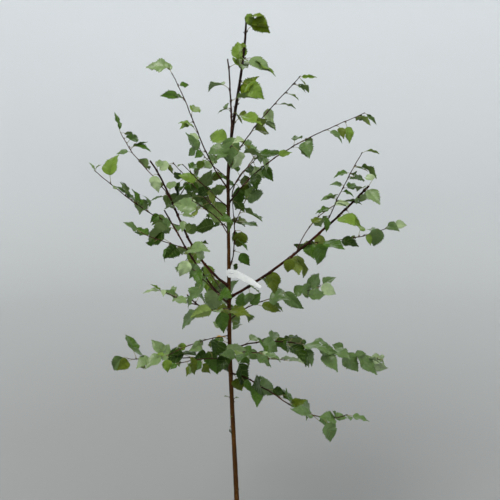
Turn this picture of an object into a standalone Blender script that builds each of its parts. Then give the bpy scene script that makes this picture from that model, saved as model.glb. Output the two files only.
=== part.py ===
"""A young silver birch in a plain nursery pot.

One upright whip of a stem with a slight S in it and a lean at the top, about thirty thin side limbs,
and the loose masses of leaves that the limbs carry.  Units are metres, +Z is up and the origin is the
centre of the pot's flat underside.  The limbs are grown from a table of named sizes: where each one
leaves its parent, its compass bearing, how steeply it starts, how it arches, and how long it is.
"""
import math

import bmesh
import bpy
import numpy as np
from mathutils import Vector, noise
from mathutils.bvhtree import BVHTree

# ------------------------------------------------------------------ driving sizes
POT_HEIGHT = 0.250          # plain round nursery pot, about ten litres
POT_TOP_D = 0.280           # outside, at the rim
POT_BASE_D = 0.212
POT_WALL = 0.0022
RIM_DROP = 0.022            # depth of the rolled rim's skirt
RIM_STEP = 0.0042           # how far the rim stands out from the wall
FOOT_RECESS = 0.004         # underside is dished inside the foot ring
DRAIN_HOLES = 8
DRAIN_D = 0.014
SOIL_LEVEL = 0.225          # top of the compost, where the stem is cut
GAP = 0.0003                # clearance that touching pieces keep

STEM_TOP = 1.526            # length of the stem above the compost
STEM_DIAMETERS = (          # (height above the compost, diameter)
    (0.000, 0.0215), (0.012, 0.0190), (0.040, 0.0168), (0.200, 0.0148), (0.500, 0.0123),
    (0.750, 0.0104), (1.000, 0.0092), (1.250, 0.0078), (1.400, 0.0064), (1.500, 0.0050), (1.526, 0.0040))
SWEEP_LOW = -0.0212         # the stem drifts this far to -X in its lowest 0.75 m
LEAN_TOP = 0.048            # and leans back to +X this far near its tip
BOW_DEPTH = 0.010           # and bows gently front to back
FLARE_LOBES = 5             # root flare: number of soft ribs, and how far they stand out
FLARE_RISE = 0.16

LABEL_HEIGHT = 0.882        # height above the compost of the blank loop-lock label
LABEL_W, LABEL_T = 0.0180, 0.0010
LABEL_LOOP_W = 0.0150       # the strip where it goes round the stem
LABEL_HEAD, LABEL_HEAD_H = 0.030, 0.0230
LABEL_TAIL = 0.078
LABEL_DROOP = 20.0          # degrees that the tail hangs below level
LABEL_BEARING = -28.0       # compass bearing that the head and tail point to

MASS_SIDES = 9              # facets round a mass
MASS_STEP = 0.033           # spacing of its rings
MASS_CLEAR = 0.0012         # least distance kept between two masses

# ------------------------------------------------------------------ limbs
# name: parent, where it leaves the parent (stem: metres above the compost; limb: share of its length),
#       bearing (degrees, 0 is +X, 90 is +Y) and how much it swings, starting pitch, lift along its length,
#       arch in the middle, length, diameter at the base, share of the length where its leaves start
#       (None: no bare bough of its own), radius of its mass
LIMBS = {
    # right hand side, from the lowest
    "bough_r1": ("stem", 0.589, -36, 8, 8, 27, -39, 0.359, 0.0042, 0.20, 0.031),
    "bough_r2": ("stem", 0.658, 20, -14, 18, -24, -22, 0.474, 0.0042, 0.17, 0.030),
    "twig_r3": ("stem", 0.637, -48, 6, 15, -6, 3, 0.205, 0.0030, None, 0.024),
    "bough_r4": ("stem", 0.744, 38, -12, 34, -18, -23, 0.330, 0.0036, 0.20, 0.028),
    "bough_r5": ("stem", 0.810, -20, 10, 32, 16, 1, 0.478, 0.0078, 0.70, 0.026),
    "twig_r5a": ("bough_r5", 0.489, 48, 0, 64, -48, -10, 0.202, 0.0026, None, 0.024),
    "twig_r5b": ("bough_r5", 0.682, -42, 0, 67, -9, 0, 0.211, 0.0028, None, 0.027),
    "twig_r5c": ("bough_r5", 0.559, 24, -12, 5, 22, -11, 0.254, 0.0030, None, 0.030),
    "bough_r6": ("stem", 0.895, 40, 20, 57, 35, 18, 0.198, 0.0036, 0.20, 0.026),
    "twig_r6b": ("bough_r6", 0.985, 34, -10, 91, -44, -23, 0.138, 0.0026, None, 0.024),
    "bough_r7": ("stem", 1.067, 26, -8, 53, -31, -10, 0.484, 0.0038, 0.22, 0.029),
    "bough_r8": ("stem", 1.154, -34, 14, 63, -19, -7, 0.295, 0.0032, 0.24, 0.027),
    # left hand side, from the lowest
    "bough_l1": ("stem", 0.628, 158, 10, 0, -3, -7, 0.325, 0.0040, 0.18, 0.035),
    "twig_l2": ("stem", 0.701, 208, -10, 6, -27, -3, 0.180, 0.0028, None, 0.022),
    "bough_l3": ("stem", 0.772, 232, -20, 10, 46, -8, 0.164, 0.0052, 0.48, 0.029),
    "twig_l3a": ("bough_l3", 0.742, 224, 0, 14, 10, 12, 0.121, 0.0028, None, 0.024),
    "bough_l4": ("stem", 0.796, 212, -16, 41, 20, 8, 0.318, 0.0058, 0.34, 0.028),
    "twig_l4a": ("bough_l4", 0.639, 190, 0, 20, 10, -5, 0.121, 0.0026, None, 0.024),
    "bough_l5": ("stem", 0.844, 163, 10, 27, 28, 24, 0.408, 0.0076, 0.72, 0.026),
    "twig_l5a": ("bough_l5", 0.514, 200, -10, 15, 25, 10, 0.270, 0.0030, None, 0.028),
    "twig_l5b": ("bough_l5", 0.714, 142, 8, 47, 14, -15, 0.260, 0.0030, None, 0.026),
    "twig_l5c": ("bough_l5", 0.667, 62, 10, 38, -21, 6, 0.242, 0.0032, None, 0.026),
    "bough_l6": ("stem", 1.023, 140, 8, 30, 9, 4, 0.248, 0.0034, 0.28, 0.027),
    "bough_l7": ("stem", 1.060, 226, -14, 33, 10, 2, 0.175, 0.0032, 0.34, 0.025),
    "bough_l8": ("stem", 1.109, 192, -8, 50, 11, 13, 0.315, 0.0038, 0.34, 0.029),
    "twig_l9": ("stem", 1.135, 118, 10, 18, 31, -8, 0.201, 0.0026, None, 0.024),
    "bough_s1": ("stem", 1.253, 196, 0, 87, -3, 2, 0.178, 0.0046, 0.30, 0.026),
    # towards the front and the back, mostly short
    "twig_f1": ("stem", 0.645, -70, 8, 27, -12, 0, 0.215, 0.0030, None, 0.028),
    "twig_f2": ("stem", 0.790, -110, -8, 33, 6, 0, 0.250, 0.0034, None, 0.030),
    "twig_f3": ("stem", 0.778, -92, -8, 18, -10, 4, 0.180, 0.0030, None, 0.028),
    "twig_f4": ("stem", 1.000, -116, -6, 32, -12, 4, 0.185, 0.0030, None, 0.027),
    "twig_f5": ("stem", 1.165, -88, 6, 30, -30, 4, 0.170, 0.0028, None, 0.026),
    "twig_f6": ("stem", 0.632, -132, 8, 20, -10, 0, 0.205, 0.0030, None, 0.026),
    "twig_b1": ("stem", 0.985, 114, -6, 22, 4, 4, 0.310, 0.0032, None, 0.030),
    "twig_b2": ("stem", 1.100, 66, 8, 24, -6, 4, 0.262, 0.0030, None, 0.027),
    "twig_b3": ("stem", 0.800, 112, 6, 12, 4, 6, 0.325, 0.0034, None, 0.030),
    "twig_b4": ("stem", 0.640, 96, -6, 10, -2, 6, 0.345, 0.0034, None, 0.031),
}
TIP_REACH = 0.030           # how far the last leaves stand past a limb's tip, where not named below
LONG_TIPS = {"bough_r1": 0.052, "bough_r4": 0.040, "twig_r5c": 0.052, "bough_r7": 0.052, "bough_l1": 0.040,
             "twig_l5b": 0.056, "bough_l8": 0.044, "twig_l5a": 0.036}
LEAF_HANG = 0.007           # how far below its limb a mass is centred, where not named below
LOW_HANG = {"bough_l3": 0.020, "bough_l4": 0.010, "bough_r1": 0.010, "bough_r7": 0.009}
# leaves that hang from short spurs straight off a stout limb or off the stem:
# name: carrier, from, to (stem: metres; limb: share), bearing, how far out, pitch of the offset, radius
SPUR_MASSES = {
    "leaves_r5_spurs": ("bough_r5", 0.16, 0.62, -60, 0.022, -60, 0.019),
    "leaves_leader_right": ("stem", 1.255, 1.526, -6, 0.030, -6, 0.028),
    "leaves_leader_left": ("stem", 1.395, 1.480, 186, 0.022, -10, 0.018),
}


# ------------------------------------------------------------------ small helpers
def smoothstep(a, b, x):
    t = min(max((x - a) / (b - a), 0.0), 1.0)
    return t * t * (3.0 - 2.0 * t)


def unit(v):
    return v / np.linalg.norm(v)


def stem_point(h):
    x = SWEEP_LOW * smoothstep(0.0, 0.75, h) + LEAN_TOP * smoothstep(1.12, 1.54, h)
    y = BOW_DEPTH * math.sin(math.pi * min(max(h / 1.54, 0.0), 1.0) * 1.5)
    return np.array([x, y, SOIL_LEVEL + h])


def stem_radius(h):
    hs, ds = zip(*STEM_DIAMETERS)
    return 0.5 * float(np.interp(h, hs, ds))


def bearing(azimuth, pitch):
    a, p = math.radians(azimuth), math.radians(pitch)
    return np.array([math.cos(p) * math.cos(a), math.cos(p) * math.sin(a), math.sin(p)])


def grow(start, azimuth, swing, pitch, lift, arch, length, steps=24):
    """centre line of a limb: its heading turns evenly, with an extra arch in the middle"""
    pts = [np.array(start)]
    for i in range(steps):
        s = (i + 0.5) / steps
        d = bearing(azimuth + swing * s, pitch + lift * s + arch * 4.0 * s * (1.0 - s))
        pts.append(pts[-1] + d * length / steps)
    return np.array(pts)


def along(path, share):
    t = min(max(share, 0.0), 1.0) * (len(path) - 1)
    i = min(int(t), len(path) - 2)
    return path[i] + (path[i + 1] - path[i]) * (t - i)


def heading(path, share):
    t = min(max(share, 0.0), 1.0) * (len(path) - 1)
    i = min(int(t), len(path) - 2)
    return unit(path[i + 1] - path[i])


def across(d):
    """two unit vectors square to d, the second as near straight up as it can be"""
    ref = np.array([0.0, 0.0, 1.0]) if abs(d[2]) < 0.95 else np.array([1.0, 0.0, 0.0])
    u = unit(np.cross(d, ref))
    return u, np.cross(u, d)


def loft(rings):
    """closed tube through rings of equal point count, with a fan over each end"""
    n = len(rings[0])
    verts = [p for ring in rings for p in ring]
    faces = []
    for k in range(len(rings) - 1):
        for i in range(n):
            j = (i + 1) % n
            faces.append((k * n + i, k * n + j, (k + 1) * n + j, (k + 1) * n + i))
    a, b = len(verts), len(verts) + 1
    verts += [np.mean(rings[0], axis=0), np.mean(rings[-1], axis=0)]
    last = (len(rings) - 1) * n
    for i in range(n):
        j = (i + 1) % n
        faces.append((a, j, i))
        faces.append((b, last + i, last + j))
    return verts, faces


def material(name, colour, roughness, metallic=0.0):
    m = bpy.data.materials.new(name)
    m.use_nodes = True
    b = m.node_tree.nodes["Principled BSDF"]
    b.inputs["Base Color"].default_value = (*colour, 1.0)
    b.inputs["Roughness"].default_value = roughness
    b.inputs["Metallic"].default_value = metallic
    m.diffuse_color = (*colour, 1.0)
    return m


def add(name, verts, faces, mat, smooth_angle=None, helper=False):
    me = bpy.data.meshes.new(name)
    me.from_pydata([tuple(map(float, v)) for v in verts], [], faces)
    bm = bmesh.new()
    bm.from_mesh(me)
    bmesh.ops.triangulate(bm, faces=[f for f in bm.faces if len(f.verts) > 4])
    bmesh.ops.recalc_face_normals(bm, faces=bm.faces)
    bm.to_mesh(me)
    bm.free()
    ob = bpy.data.objects.new(name, me)
    bpy.context.scene.collection.objects.link(ob)
    if mat:
        me.materials.append(mat)
    if smooth_angle:
        me.shade_smooth()
        me.set_sharp_from_angle(angle=math.radians(smooth_angle))
    if helper:
        ob.hide_render = True
        ob.display_type = "WIRE"
    return ob


def cut(target, cutter):
    mod = target.modifiers.new("cut_" + cutter.name, "BOOLEAN")
    mod.operation = "DIFFERENCE"
    mod.solver = "EXACT"
    mod.object = cutter


# ------------------------------------------------------------------ start clean
for ob in list(bpy.data.objects):
    bpy.data.objects.remove(ob, do_unlink=True)

BARK = material("young_birch_bark", (0.095, 0.042, 0.022), 0.48)
LEAF_LIGHT = material("leaf_light", (0.20, 0.34, 0.06), 0.5)
LEAF_MID = material("leaf_mid", (0.11, 0.23, 0.07), 0.5)
LEAF_DEEP = material("leaf_deep", (0.05, 0.12, 0.035), 0.5)
POT_PLASTIC = material("pot_plastic", (0.012, 0.012, 0.013), 0.45)
COMPOST = material("compost", (0.030, 0.018, 0.010), 0.95)
LABEL_WHITE = material("label_white", (0.78, 0.78, 0.76), 0.4)


# ------------------------------------------------------------------ pot and compost
def turned(profile, sides):
    """closed solid of revolution about Z; the profile starts and ends on the axis"""
    verts, faces = [], []
    rows = []
    for r, z in profile:
        if r < 1e-9:
            rows.append([len(verts)])
            verts.append((0.0, 0.0, z))
        else:
            rows.append(list(range(len(verts), len(verts) + sides)))
            for i in range(sides):
                a = 2.0 * math.pi * (i + 0.5) / sides
                verts.append((r * math.cos(a), r * math.sin(a), z))
    for lo, hi in zip(rows, rows[1:]):
        for i in range(sides):
            j = (i + 1) % sides
            if len(lo) == 1:
                faces.append((lo[0], hi[j], hi[i]))
            elif len(hi) == 1:
                faces.append((lo[i], lo[j], hi[0]))
            else:
                faces.append((lo[i], lo[j], hi[j], hi[i]))
    return verts, faces


POT_SIDES = 36


def pot_wall_r(z):
    """outside radius of the tapered wall below the rim"""
    top_r = POT_TOP_D / 2 - RIM_STEP
    return POT_BASE_D / 2 + (top_r - POT_BASE_D / 2) * z / POT_HEIGHT


floor_top = FOOT_RECESS + POT_WALL
skirt = POT_HEIGHT - RIM_DROP
profile = [
    (0.0, FOOT_RECESS), (0.060, FOOT_RECESS), (0.063, 0.0), (POT_BASE_D / 2 - 0.004, 0.0),
    (POT_BASE_D / 2 - 0.0006, 0.003), (pot_wall_r(0.060), 0.060),
    (pot_wall_r(skirt), skirt), (POT_TOP_D / 2 - 0.0010, skirt), (POT_TOP_D / 2, skirt + 0.004),
    (POT_TOP_D / 2, POT_HEIGHT - 0.003), (POT_TOP_D / 2 - 0.002, POT_HEIGHT),
    (POT_TOP_D / 2 - 0.0052, POT_HEIGHT), (pot_wall_r(skirt) - POT_WALL, skirt - 0.004),
    (pot_wall_r(0.012) - POT_WALL, floor_top + 0.006), (pot_wall_r(0.0) - POT_WALL - 0.006, floor_top),
    (0.0, floor_top)]
# the middle of the underside stays flat on the ground: the foot is a disc, with a shallow ring groove
profile[0:3] = [(0.0, 0.0), (0.066, 0.0), (0.068, FOOT_RECESS * 0.5), (0.078, FOOT_RECESS * 0.5), (0.080, 0.0)]
v, f = turned(profile, POT_SIDES)
pot = add("pot", v, f, POT_PLASTIC, 35)

drill_v, drill_f = [], []
for k in range(DRAIN_HOLES):
    a = 2.0 * math.pi * (k + 0.5) / DRAIN_HOLES
    c = np.array([math.cos(a), math.sin(a), 0.0]) * 0.088
    ring0 = [c + np.array([DRAIN_D / 2 * math.cos(t), DRAIN_D / 2 * math.sin(t), -0.010])
             for t in np.arange(8) * math.pi / 4]
    ring1 = [p + np.array([0.0, 0.0, 0.022]) for p in ring0]
    vv, ff = loft([ring0, ring1])
    ff = [tuple(i + len(drill_v) for i in q) for q in ff]
    drill_v += vv
    drill_f += ff
drill = add("drain_drill", drill_v, drill_f, None, helper=True)
cut(pot, drill)

wall_in = lambda z: pot_wall_r(z) - POT_WALL - 0.0012
profile = [(0.0, floor_top + GAP), (pot_wall_r(0.0) - POT_WALL - 0.0075, floor_top + GAP),
           (wall_in(0.014) - 0.0010, floor_top + 0.0078), (wall_in(SOIL_LEVEL - 0.008), SOIL_LEVEL - 0.008),
           (wall_in(SOIL_LEVEL) - 0.006, SOIL_LEVEL - 0.001), (0.060, SOIL_LEVEL - 0.0003),
           (0.0, SOIL_LEVEL - 0.0003)]
v, f = turned(profile, POT_SIDES)
compost = add("compost", v, f, COMPOST, 40)


# ------------------------------------------------------------------ stem
def stem_rings(spacing, sides, grow_by=0.0, below=0.0, above=0.0):
    rings = []
    heights = [0.0, 0.006, 0.014, 0.028, 0.060] + list(np.arange(0.12, 1.50, spacing)) + [1.506, STEM_TOP - 0.002, STEM_TOP]
    for h in heights:
        c = stem_point(h)
        r = stem_radius(h) + grow_by
        if h >= STEM_TOP - 1e-6:
            r = r * 0.55 + grow_by
        if h == 0.0:
            c = c + np.array([0.0, 0.0, -below])
        if h >= STEM_TOP - 1e-6:
            c = c + np.array([0.0, 0.0, above])
        flare = math.exp(-h / 0.016)
        d = np.array([0.0, 0.0, 1.0]) if h < 0.03 else unit(stem_point(h + 0.004) - stem_point(h - 0.004))
        u, w = np.array([1.0, 0.0, 0.0]), np.array([0.0, 1.0, 0.0])
        u = unit(u - d * np.dot(u, d))
        w = np.cross(d, u)
        ring = []
        for i in range(sides):
            a = 2.0 * math.pi * i / sides
            rr = r * (1.0 + FLARE_RISE * flare * (0.35 + 0.65 * math.cos(FLARE_LOBES * a + 0.7)))
            ring.append(c + (u * math.cos(a) + w * math.sin(a)) * rr)
        rings.append(ring)
    return rings


v, f = loft(stem_rings(0.080, 12))
trunk = add("trunk", v, f, BARK, 50)
v, f = loft(stem_rings(0.080, 12, grow_by=GAP * 1.3, below=0.004, above=0.004))
stem_cutter = add("stem_clearance", v, f, None, helper=True)

# ------------------------------------------------------------------ limbs
PATHS = {}
for name, (parent, at, az, swing, pitch, lift, arch, length, d0, leaf_from, fat) in LIMBS.items():
    start = stem_point(at) if parent == "stem" else along(PATHS[parent], at)
    PATHS[name] = grow(start, az, swing, pitch, lift, arch, length)


def limb_radius(name, share):
    d0 = LIMBS[name][8]
    tip = 0.0042 if d0 > 0.007 else (0.0030 if d0 > 0.0045 else 0.0014)
    return 0.5 * (d0 + (tip - d0) * share)


LIMB_SIDES = 7
BOUGHS = {}
for name, spec in LIMBS.items():
    if spec[9] is None:
        continue
    path, length, end = PATHS[name], spec[7], spec[9] - GAP / spec[7]
    n = max(4, int(round(end * length / 0.035)) + 2)
    rings = []
    for k in range(n):
        s = end * k / (n - 1)
        d = heading(path, spec[9]) if k == n - 1 else heading(path, s)
        u, w = across(d)
        # a slight collar where the limb leaves the stem
        r = limb_radius(name, s) * (1.0 + 0.35 * math.exp(-s * length / 0.006))
        rings.append([along(path, s) + (u * math.cos(a) + w * math.sin(a)) * r
                      for a in 2.0 * math.pi * np.arange(LIMB_SIDES) / LIMB_SIDES])
    v, f = loft(rings)
    ob = add(name, v, f, BARK, 50)
    cut(ob, stem_cutter)
    BOUGHS[name] = ob


# ------------------------------------------------------------------ blank loop-lock label
# one thin plastic strip: a turn round the stem, a taller head in front of it, and a tail that hangs out
def label_rings(extra=0.0):
    c = stem_point(LABEL_HEIGHT)
    r0 = stem_radius(LABEL_HEIGHT) + 0.0011
    exit_angle = LABEL_BEARING - 90.0
    up = np.array([0.0, 0.0, 1.0])
    rings = []

    def section(p, normal, wide, w):
        n, v = normal * (LABEL_T / 2 + extra), wide * (w / 2 + extra)
        rings.append([p - n - v, p + n - v, p + n + v, p - n + v])

    turn = 408.0
    for k in range(19):
        t = k / 18.0
        a = math.radians(exit_angle - turn * (1.0 - t))
        r = r0 + (LABEL_T + 0.0009) * smoothstep(0.80, 0.93, t)
        n = np.array([math.cos(a), math.sin(a), 0.0])
        section(c + n * r, n, up, LABEL_LOOP_W)
    n = bearing(exit_angle, 0.0)
    d = bearing(LABEL_BEARING, 0.0)
    p = c + n * (r0 + LABEL_T + 0.0009)
    # the head: as wide as the loop, then stepped out, then stepped in again
    for x, w in ((0.0015, LABEL_HEAD_H), (LABEL_HEAD - 0.002, LABEL_HEAD_H), (LABEL_HEAD, LABEL_W)):
        section(p + d * x, n, up, w)
    p = p + d * LABEL_HEAD
    steps = 6
    for k in range(1, steps + 1):
        droop = math.radians(LABEL_DROOP)
        curl = 0.003 * (k / steps) ** 2
        dd = d * math.cos(droop) - up * math.sin(droop)
        ww = up * math.cos(droop) + d * math.sin(droop)
        p = p + dd * LABEL_TAIL / steps
        section(p + n * curl, n, ww, LABEL_W if k < steps else LABEL_W * 0.78)
    return rings


v, f = loft(label_rings())
add("label", v, f, LABEL_WHITE, 30)


# ------------------------------------------------------------------ masses of leaves
def lumpy(axis, radii, start_dir, seed, flat_start=True):
    """an uneven closed tube round an axis; returns its rings and the axis point behind each ring"""
    rings, cores = [], []
    for k, (c, r) in enumerate(zip(axis, radii)):
        if k == 0:
            d = start_dir
        elif k == len(axis) - 1:
            d = unit(axis[k] - axis[k - 1])
        else:
            d = unit(axis[k + 1] - axis[k - 1])
        u, w = across(d)
        ring = []
        for i in range(MASS_SIDES):
            a = 2.0 * math.pi * (i + 0.5 * (k % 2)) / MASS_SIDES
            q = Vector((math.cos(a) * 1.3, math.sin(a) * 1.3, k * 0.85)) + Vector((seed * 7.13, seed * 3.7, 0.0))
            lump = 1.0 + (0.34 if k else 0.12) * noise.noise(q) + (0.16 if k else 0.0) * noise.noise(q * 2.3)
            # deeper below the limb than above it, because the leaves hang
            hang = 1.0 - 0.16 * math.sin(a) * (1.0 if k else 0.0)
            along_axis = 0.0 if k == 0 else 0.22 * r * noise.noise(q * 1.7 + Vector((9.1, 2.2, 5.5)))
            ring.append(c + (u * math.cos(a) + w * math.sin(a)) * r * lump * hang + d * along_axis)
        rings.append(ring)
        cores.append(c)
    return rings, cores


def mass_axis(path, s0, fat, reach, droop):
    length = float(np.sum(np.linalg.norm(np.diff(path, axis=0), axis=1)))
    span = (1.0 - s0) * length + reach
    n = max(5, int(round(span / MASS_STEP)) + 1)
    axis, radii = [], []
    for k in range(n):
        t = span * k / (n - 1)
        s = s0 + t / length
        c = along(path, s)
        if s > 1.0:
            c = c + (heading(path, 1.0) + np.array([0.0, 0.0, -0.35])) * (s - 1.0) * length
        c = c + np.array([0.0, 0.0, -droop * smoothstep(0.0, 0.05, t)])
        grown = min(1.0, 0.34 + 0.66 * smoothstep(0.0, 0.032, t))
        ending = 0.30 + 0.70 * smoothstep(0.0, 0.055, span - t)
        axis.append(c)
        radii.append(fat * grown * ending)
    return axis, radii


MASSES = {}
for idx, (name, spec) in enumerate(LIMBS.items()):
    path, length, fat = PATHS[name], spec[7], spec[10]
    parent_r = stem_radius(spec[1]) if spec[0] == "stem" else limb_radius(spec[0], spec[1])
    if spec[9] is None:
        s0 = (parent_r + 0.0050) / length
    else:
        s0 = spec[9]
    reach = LONG_TIPS.get(name, TIP_REACH)
    axis, radii = mass_axis(path, s0, fat, reach, LOW_HANG.get(name, LEAF_HANG))
    MASSES["leaves_" + name.split("_")[1]] = (lumpy(axis, radii, heading(path, s0), idx + 1), name)

for idx, (name, (carrier, a, b, az, out, tilt, fat)) in enumerate(SPUR_MASSES.items()):
    off = bearing(az, tilt) * out
    if carrier == "stem":
        pts = [stem_point(h) + off for h in np.linspace(a, b, max(5, int((b - a) / MASS_STEP) + 2))]
        if b > 1.5:                      # the topmost leaf stands above the tip
            pts[-2] = stem_point(STEM_TOP - 0.030) + np.array([0.034, 0.0, 0.0])
            pts[-1] = stem_point(STEM_TOP) + np.array([0.030, 0.0, 0.006])
    else:
        pts = [along(PATHS[carrier], s) + off for s in np.linspace(a, b, 7)]
    n = len(pts)
    radii = [fat * (0.55 + 0.45 * min(1.0, 2.6 * min(k, n - 1 - k) / (n - 1))) for k in range(n)]
    MASSES[name] = (lumpy(pts, radii, unit(pts[1] - pts[0]), 60 + idx), carrier)


# Pull the lumps in wherever two masses, or a mass and the wood, would meet.  Each ring point only ever
# slides towards the axis point behind it, so a mass stays one closed solid.
def tri_mesh(rings):
    v, f = loft(rings)
    tris = []
    for q in f:
        tris.append((q[0], q[1], q[2]))
        if len(q) == 4:
            tris.append((q[0], q[2], q[3]))
    return [Vector(map(float, p)) for p in v], tris


def wood_tree(name, rings):
    v, t = tri_mesh(rings)
    return BVHTree.FromPolygons(v, t)


wood = {"stem": wood_tree("stem", stem_rings(0.080, 12, grow_by=MASS_CLEAR)),
        "label": wood_tree("label", label_rings(MASS_CLEAR))}
for name, spec in LIMBS.items():
    if spec[9] is None:
        continue
    path = PATHS[name]
    rings = []
    for k in range(8):
        s = (spec[9] - 0.0015 / spec[7]) * k / 7.0
        u, w = across(heading(path, s))
        r = limb_radius(name, s) * (1.0 + 0.35 * math.exp(-s * spec[7] / 0.006)) + MASS_CLEAR
        rings.append([along(path, s) + (u * math.cos(a) + w * math.sin(a)) * r
                      for a in 2.0 * math.pi * np.arange(8) / 8])
    wood[name] = wood_tree(name, rings)

def swollen(rings, cores, by):
    out = []
    for ring, c in zip(rings, cores):
        out.append([p + unit(p - c) * by for p in ring])
    return out


names = list(MASSES)
for sweep_no in range(60):
    trees = {}
    for n in names:
        (rings, cores), own = MASSES[n]
        v, t = tri_mesh(swollen(rings, cores, MASS_CLEAR * 0.5))
        trees[n] = (BVHTree.FromPolygons(v, t), t)
    hit = {n: set() for n in names}
    for i, a in enumerate(names):
        ta, tris_a = trees[a]
        own = MASSES[a][1]
        for b in names[i + 1:]:
            tb, tris_b = trees[b]
            for p, q in ta.overlap(tb):
                hit[a].update(tris_a[p])
                hit[b].update(tris_b[q])
        for w, tw in wood.items():
            for p, q in ta.overlap(tw):
                if w == own and MASSES[a][0][0] and min(tris_a[p]) < MASS_SIDES:
                    continue
                hit[a].update(tris_a[p])
    if not any(hit.values()):
        break
    for n in names:
        (rings, cores), own = MASSES[n]
        for i in hit[n]:
            if i >= len(rings) * MASS_SIDES:
                continue
            k, j = divmod(i, MASS_SIDES)
            for jj, share in ((j, 0.90), (j - 1, 0.96), ((j + 1) % MASS_SIDES, 0.96)):
                rings[k][jj] = cores[k] + (rings[k][jj] - cores[k]) * share

shades = (LEAF_MID, LEAF_LIGHT, LEAF_DEEP)
for idx, n in enumerate(names):
    (rings, cores), own = MASSES[n]
    v, f = loft(rings)
    deep = n.startswith("leaves_b")
    light = n in ("leaves_leader_right", "leaves_f2", "leaves_l8", "leaves_r3")
    add(n, v, f, LEAF_DEEP if deep else (LEAF_LIGHT if light else LEAF_MID), 60)
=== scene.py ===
# A young silver birch in a plain nursery pot: the looks.  Limbs, twigs and leaves are grown by rule from
# named sizes; every leaf is its own small mesh.  Units are metres, +Z is up.
import math
import random

import bmesh
import bpy
import numpy as np
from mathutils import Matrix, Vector, noise


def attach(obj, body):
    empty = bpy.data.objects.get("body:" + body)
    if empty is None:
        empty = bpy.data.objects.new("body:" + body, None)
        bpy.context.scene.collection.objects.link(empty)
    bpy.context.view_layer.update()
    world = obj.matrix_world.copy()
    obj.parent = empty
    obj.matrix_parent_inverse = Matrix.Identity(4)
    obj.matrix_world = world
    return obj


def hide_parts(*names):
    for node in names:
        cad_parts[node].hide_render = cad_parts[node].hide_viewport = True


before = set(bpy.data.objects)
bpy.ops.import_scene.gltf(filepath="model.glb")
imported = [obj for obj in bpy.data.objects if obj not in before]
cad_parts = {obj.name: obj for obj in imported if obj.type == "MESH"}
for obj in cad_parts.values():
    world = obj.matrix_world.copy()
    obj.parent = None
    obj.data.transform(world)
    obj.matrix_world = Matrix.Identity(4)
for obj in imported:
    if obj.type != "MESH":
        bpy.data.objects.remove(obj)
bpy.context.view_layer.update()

# ------------------------------------------------------------------ plant rules
SOIL_LEVEL = 0.225
STEM_TOP = 1.526
STEM_DIAMETERS = (
    (0.000, 0.0215), (0.012, 0.0190), (0.040, 0.0168), (0.200, 0.0148), (0.500, 0.0123),
    (0.750, 0.0104), (1.000, 0.0092), (1.250, 0.0078), (1.400, 0.0064), (1.500, 0.0050), (1.526, 0.0040))
SWEEP_LOW, LEAN_TOP, BOW_DEPTH = -0.0212, 0.048, 0.010

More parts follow.
